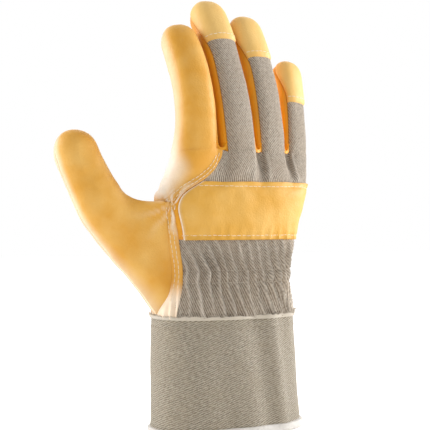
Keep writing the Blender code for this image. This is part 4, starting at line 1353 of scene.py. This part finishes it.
class GLOVE_OT_stitching(bpy.types.Operator):
    """Sew the strap, the tip caps, the thumb seam, the elastic, the pulse patch and the cuff"""

    bl_idname = "glove.stitching"
    bl_label = "Stitching"

    def execute(self, context):
        sizes = context.scene.glove_sizes
        size = (sizes.stitch, sizes.stitch_gap, sizes.thread)
        fine = (0.0025, 0.0005, 0.00027)

        for label, z in zip(("lower", "upper"), STRAP_ROWS):
            first = leather_edge(z) + 4.5
            run = OUTER_SEAM - 1.0 - first
            spots = [(first + run * k / 110, z + 0.00015 * math.sin(k / 9.0)) for k in range(111)]
            sewn(f"Strap_{label}_stitches", Skin(hand_surface, strap_folds, STRAP_LIFT), spots, size, "thread")
        for label, offset, low in (("outer", 0.0026, 0.090), ("inner", 0.0058, 0.082)):
            sewn(f"Thumb_seam_{label}_stitches", Skin(hand_surface, hand_leather_folds),
                 beside_edge(offset, low, KNUCKLE - 0.002), fine, "thread")
        for label, z in zip(("lower", "upper"), ELASTIC_ROWS):
            run = OUTER_SEAM - 5.0 - leather_edge(z)
            spots = [(leather_edge(z) + 3.0 + run * k / 400, z) for k in range(401)]
            sewn(f"Elastic_{label}_stitches", Skin(hand_surface, lower_back_folds), spots, (0.0021, 0.0007, 0.00024),
                 "dull thread")
        for name in ORDER[1:]:
            skin = Skin(partial(finger_surface, name), finger_folds(name), CAP_LIFT)
            low, high = strip_ranges(name)["back"](FINGERS[name].cap)
            spots = [(low + 4.0 + (high - low - 8.0) * k / 40, FINGERS[name].cap + 0.0038) for k in range(41)]
            sewn(f"{name.capitalize()}_cap_stitches", skin, spots, fine, "thread", bends=name)

        z = PATCH_TOP - 0.003
        spots = [(217.0 + (347.0 + notch_edges(z)[0] - 217.0) * k / 80, z) for k in range(81)]
        sewn("Patch_stitches", Skin(hand_surface, hand_leather_folds, PATCH_LIFT), spots, size, "thread")
        spots = [(360.0 * k / 240, CUFF_HEIGHT - 0.0072) for k in range(241)]
        sewn("Cuff_top_stitches", Skin(cuff_surface, cuff_folds, 0.0001), spots, (0.0026, 0.0009, 0.00026),
             "cuff thread")
        return {"FINISHED"}


class GLOVE_OT_stage(bpy.types.Operator):
    """Make the pale floor, the soft studio light and the camera"""

    bl_idname = "glove.stage"
    bl_label = "Stage"

    def execute(self, context):
        scene = context.scene
        scene.view_settings.view_transform = "Standard"
        bm = bmesh.new()
        bmesh.ops.create_grid(bm, x_segments=2, y_segments=2, size=3.0)
        mesh = bpy.data.meshes.new("Floor")
        bm.to_mesh(mesh)
        bm.free()
        mesh.materials.append(pale_floor())
        floor = bpy.data.objects.new("Floor", mesh)
        scene.collection.objects.link(floor)

        world = bpy.data.worlds.new("Studio")
        world.use_nodes = True
        tree = world.node_tree
        tree.nodes.clear()
        dome = node(tree, "Background", {"Color": (1.0, 1.0, 1.0, 1.0), "Strength": DOME_LIGHT})
        wall = node(tree, "Background", {"Color": (1.0, 1.0, 1.0, 1.0), "Strength": 1.0})
        seen = node(tree, "LightPath").outputs["Is Camera Ray"]
        studio = node(tree, "MixShader", {0: seen, 1: dome, 2: wall})
        node(tree, "OutputWorld", {"Surface": studio})
        scene.world = world

        aim = at_centre(0.0, 0.0, AIM_HEIGHT)
        for name, azimuth, elevation, away, size, watts in LAMPS:
            a, e = math.radians(azimuth), math.radians(elevation)
            towards = Vector((math.sin(a) * math.cos(e), -math.cos(a) * math.cos(e), math.sin(e)))
            lamp = bpy.data.lights.new(name, "AREA")
            lamp.shape, lamp.size, lamp.energy = "SQUARE", size, watts
            obj = bpy.data.objects.new(name, lamp)
            obj.location = aim + towards * away
            obj.rotation_euler = (-towards).to_track_quat("-Z", "Y").to_euler()
            scene.collection.objects.link(obj)

        turn = math.radians(CAMERA_TURN)
        back = Vector((math.sin(turn), -math.cos(turn), 0.0))
        right = Vector((math.cos(turn), math.sin(turn), 0.0))
        data = bpy.data.cameras.new("Camera")
        data.lens, data.sensor_width = LENS, SENSOR
        camera = bpy.data.objects.new("Camera", data)
        camera.location = aim - right * CAMERA_LEFT + back * CAMERA_AWAY
        camera.rotation_euler = (-back).to_track_quat("-Z", "Y").to_euler()
        scene.collection.objects.link(camera)
        scene.camera = camera
        return {"FINISHED"}


STEPS = (GLOVE_OT_stage, GLOVE_OT_cuff, GLOVE_OT_hand, GLOVE_OT_fingers, GLOVE_OT_thumb, GLOVE_OT_stitching)


class GLOVE_PT_panel(bpy.types.Panel):
    bl_label = "Gauntlet glove"
    bl_idname = "GLOVE_PT_panel"
    bl_space_type = "VIEW_3D"
    bl_region_type = "UI"
    bl_category = "Glove"

    def draw(self, context):
        for step in STEPS:
            self.layout.operator(step.bl_idname)
        for group in (context.scene.glove_sizes, context.scene.glove_colours):
            column = self.layout.column(align=True)
            for key in group.__annotations__:
                column.prop(group, key)


CLASSES = (GloveColours, GloveSizes, *STEPS, GLOVE_PT_panel)


def register():
    for cls in CLASSES:
        bpy.utils.register_class(cls)
    bpy.types.Scene.glove_colours = PointerProperty(type=GloveColours)
    bpy.types.Scene.glove_sizes = PointerProperty(type=GloveSizes)


def unregister():
    del bpy.types.Scene.glove_sizes
    del bpy.types.Scene.glove_colours
    for cls in reversed(CLASSES):
        bpy.utils.unregister_class(cls)


def main():
    register()
    bpy.ops.glove.stage()
    bpy.ops.glove.cuff()
    bpy.ops.glove.hand()
    bpy.ops.glove.fingers()
    bpy.ops.glove.thumb()
    bpy.ops.glove.stitching()
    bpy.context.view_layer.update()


if __name__ == "__main__":
    main()
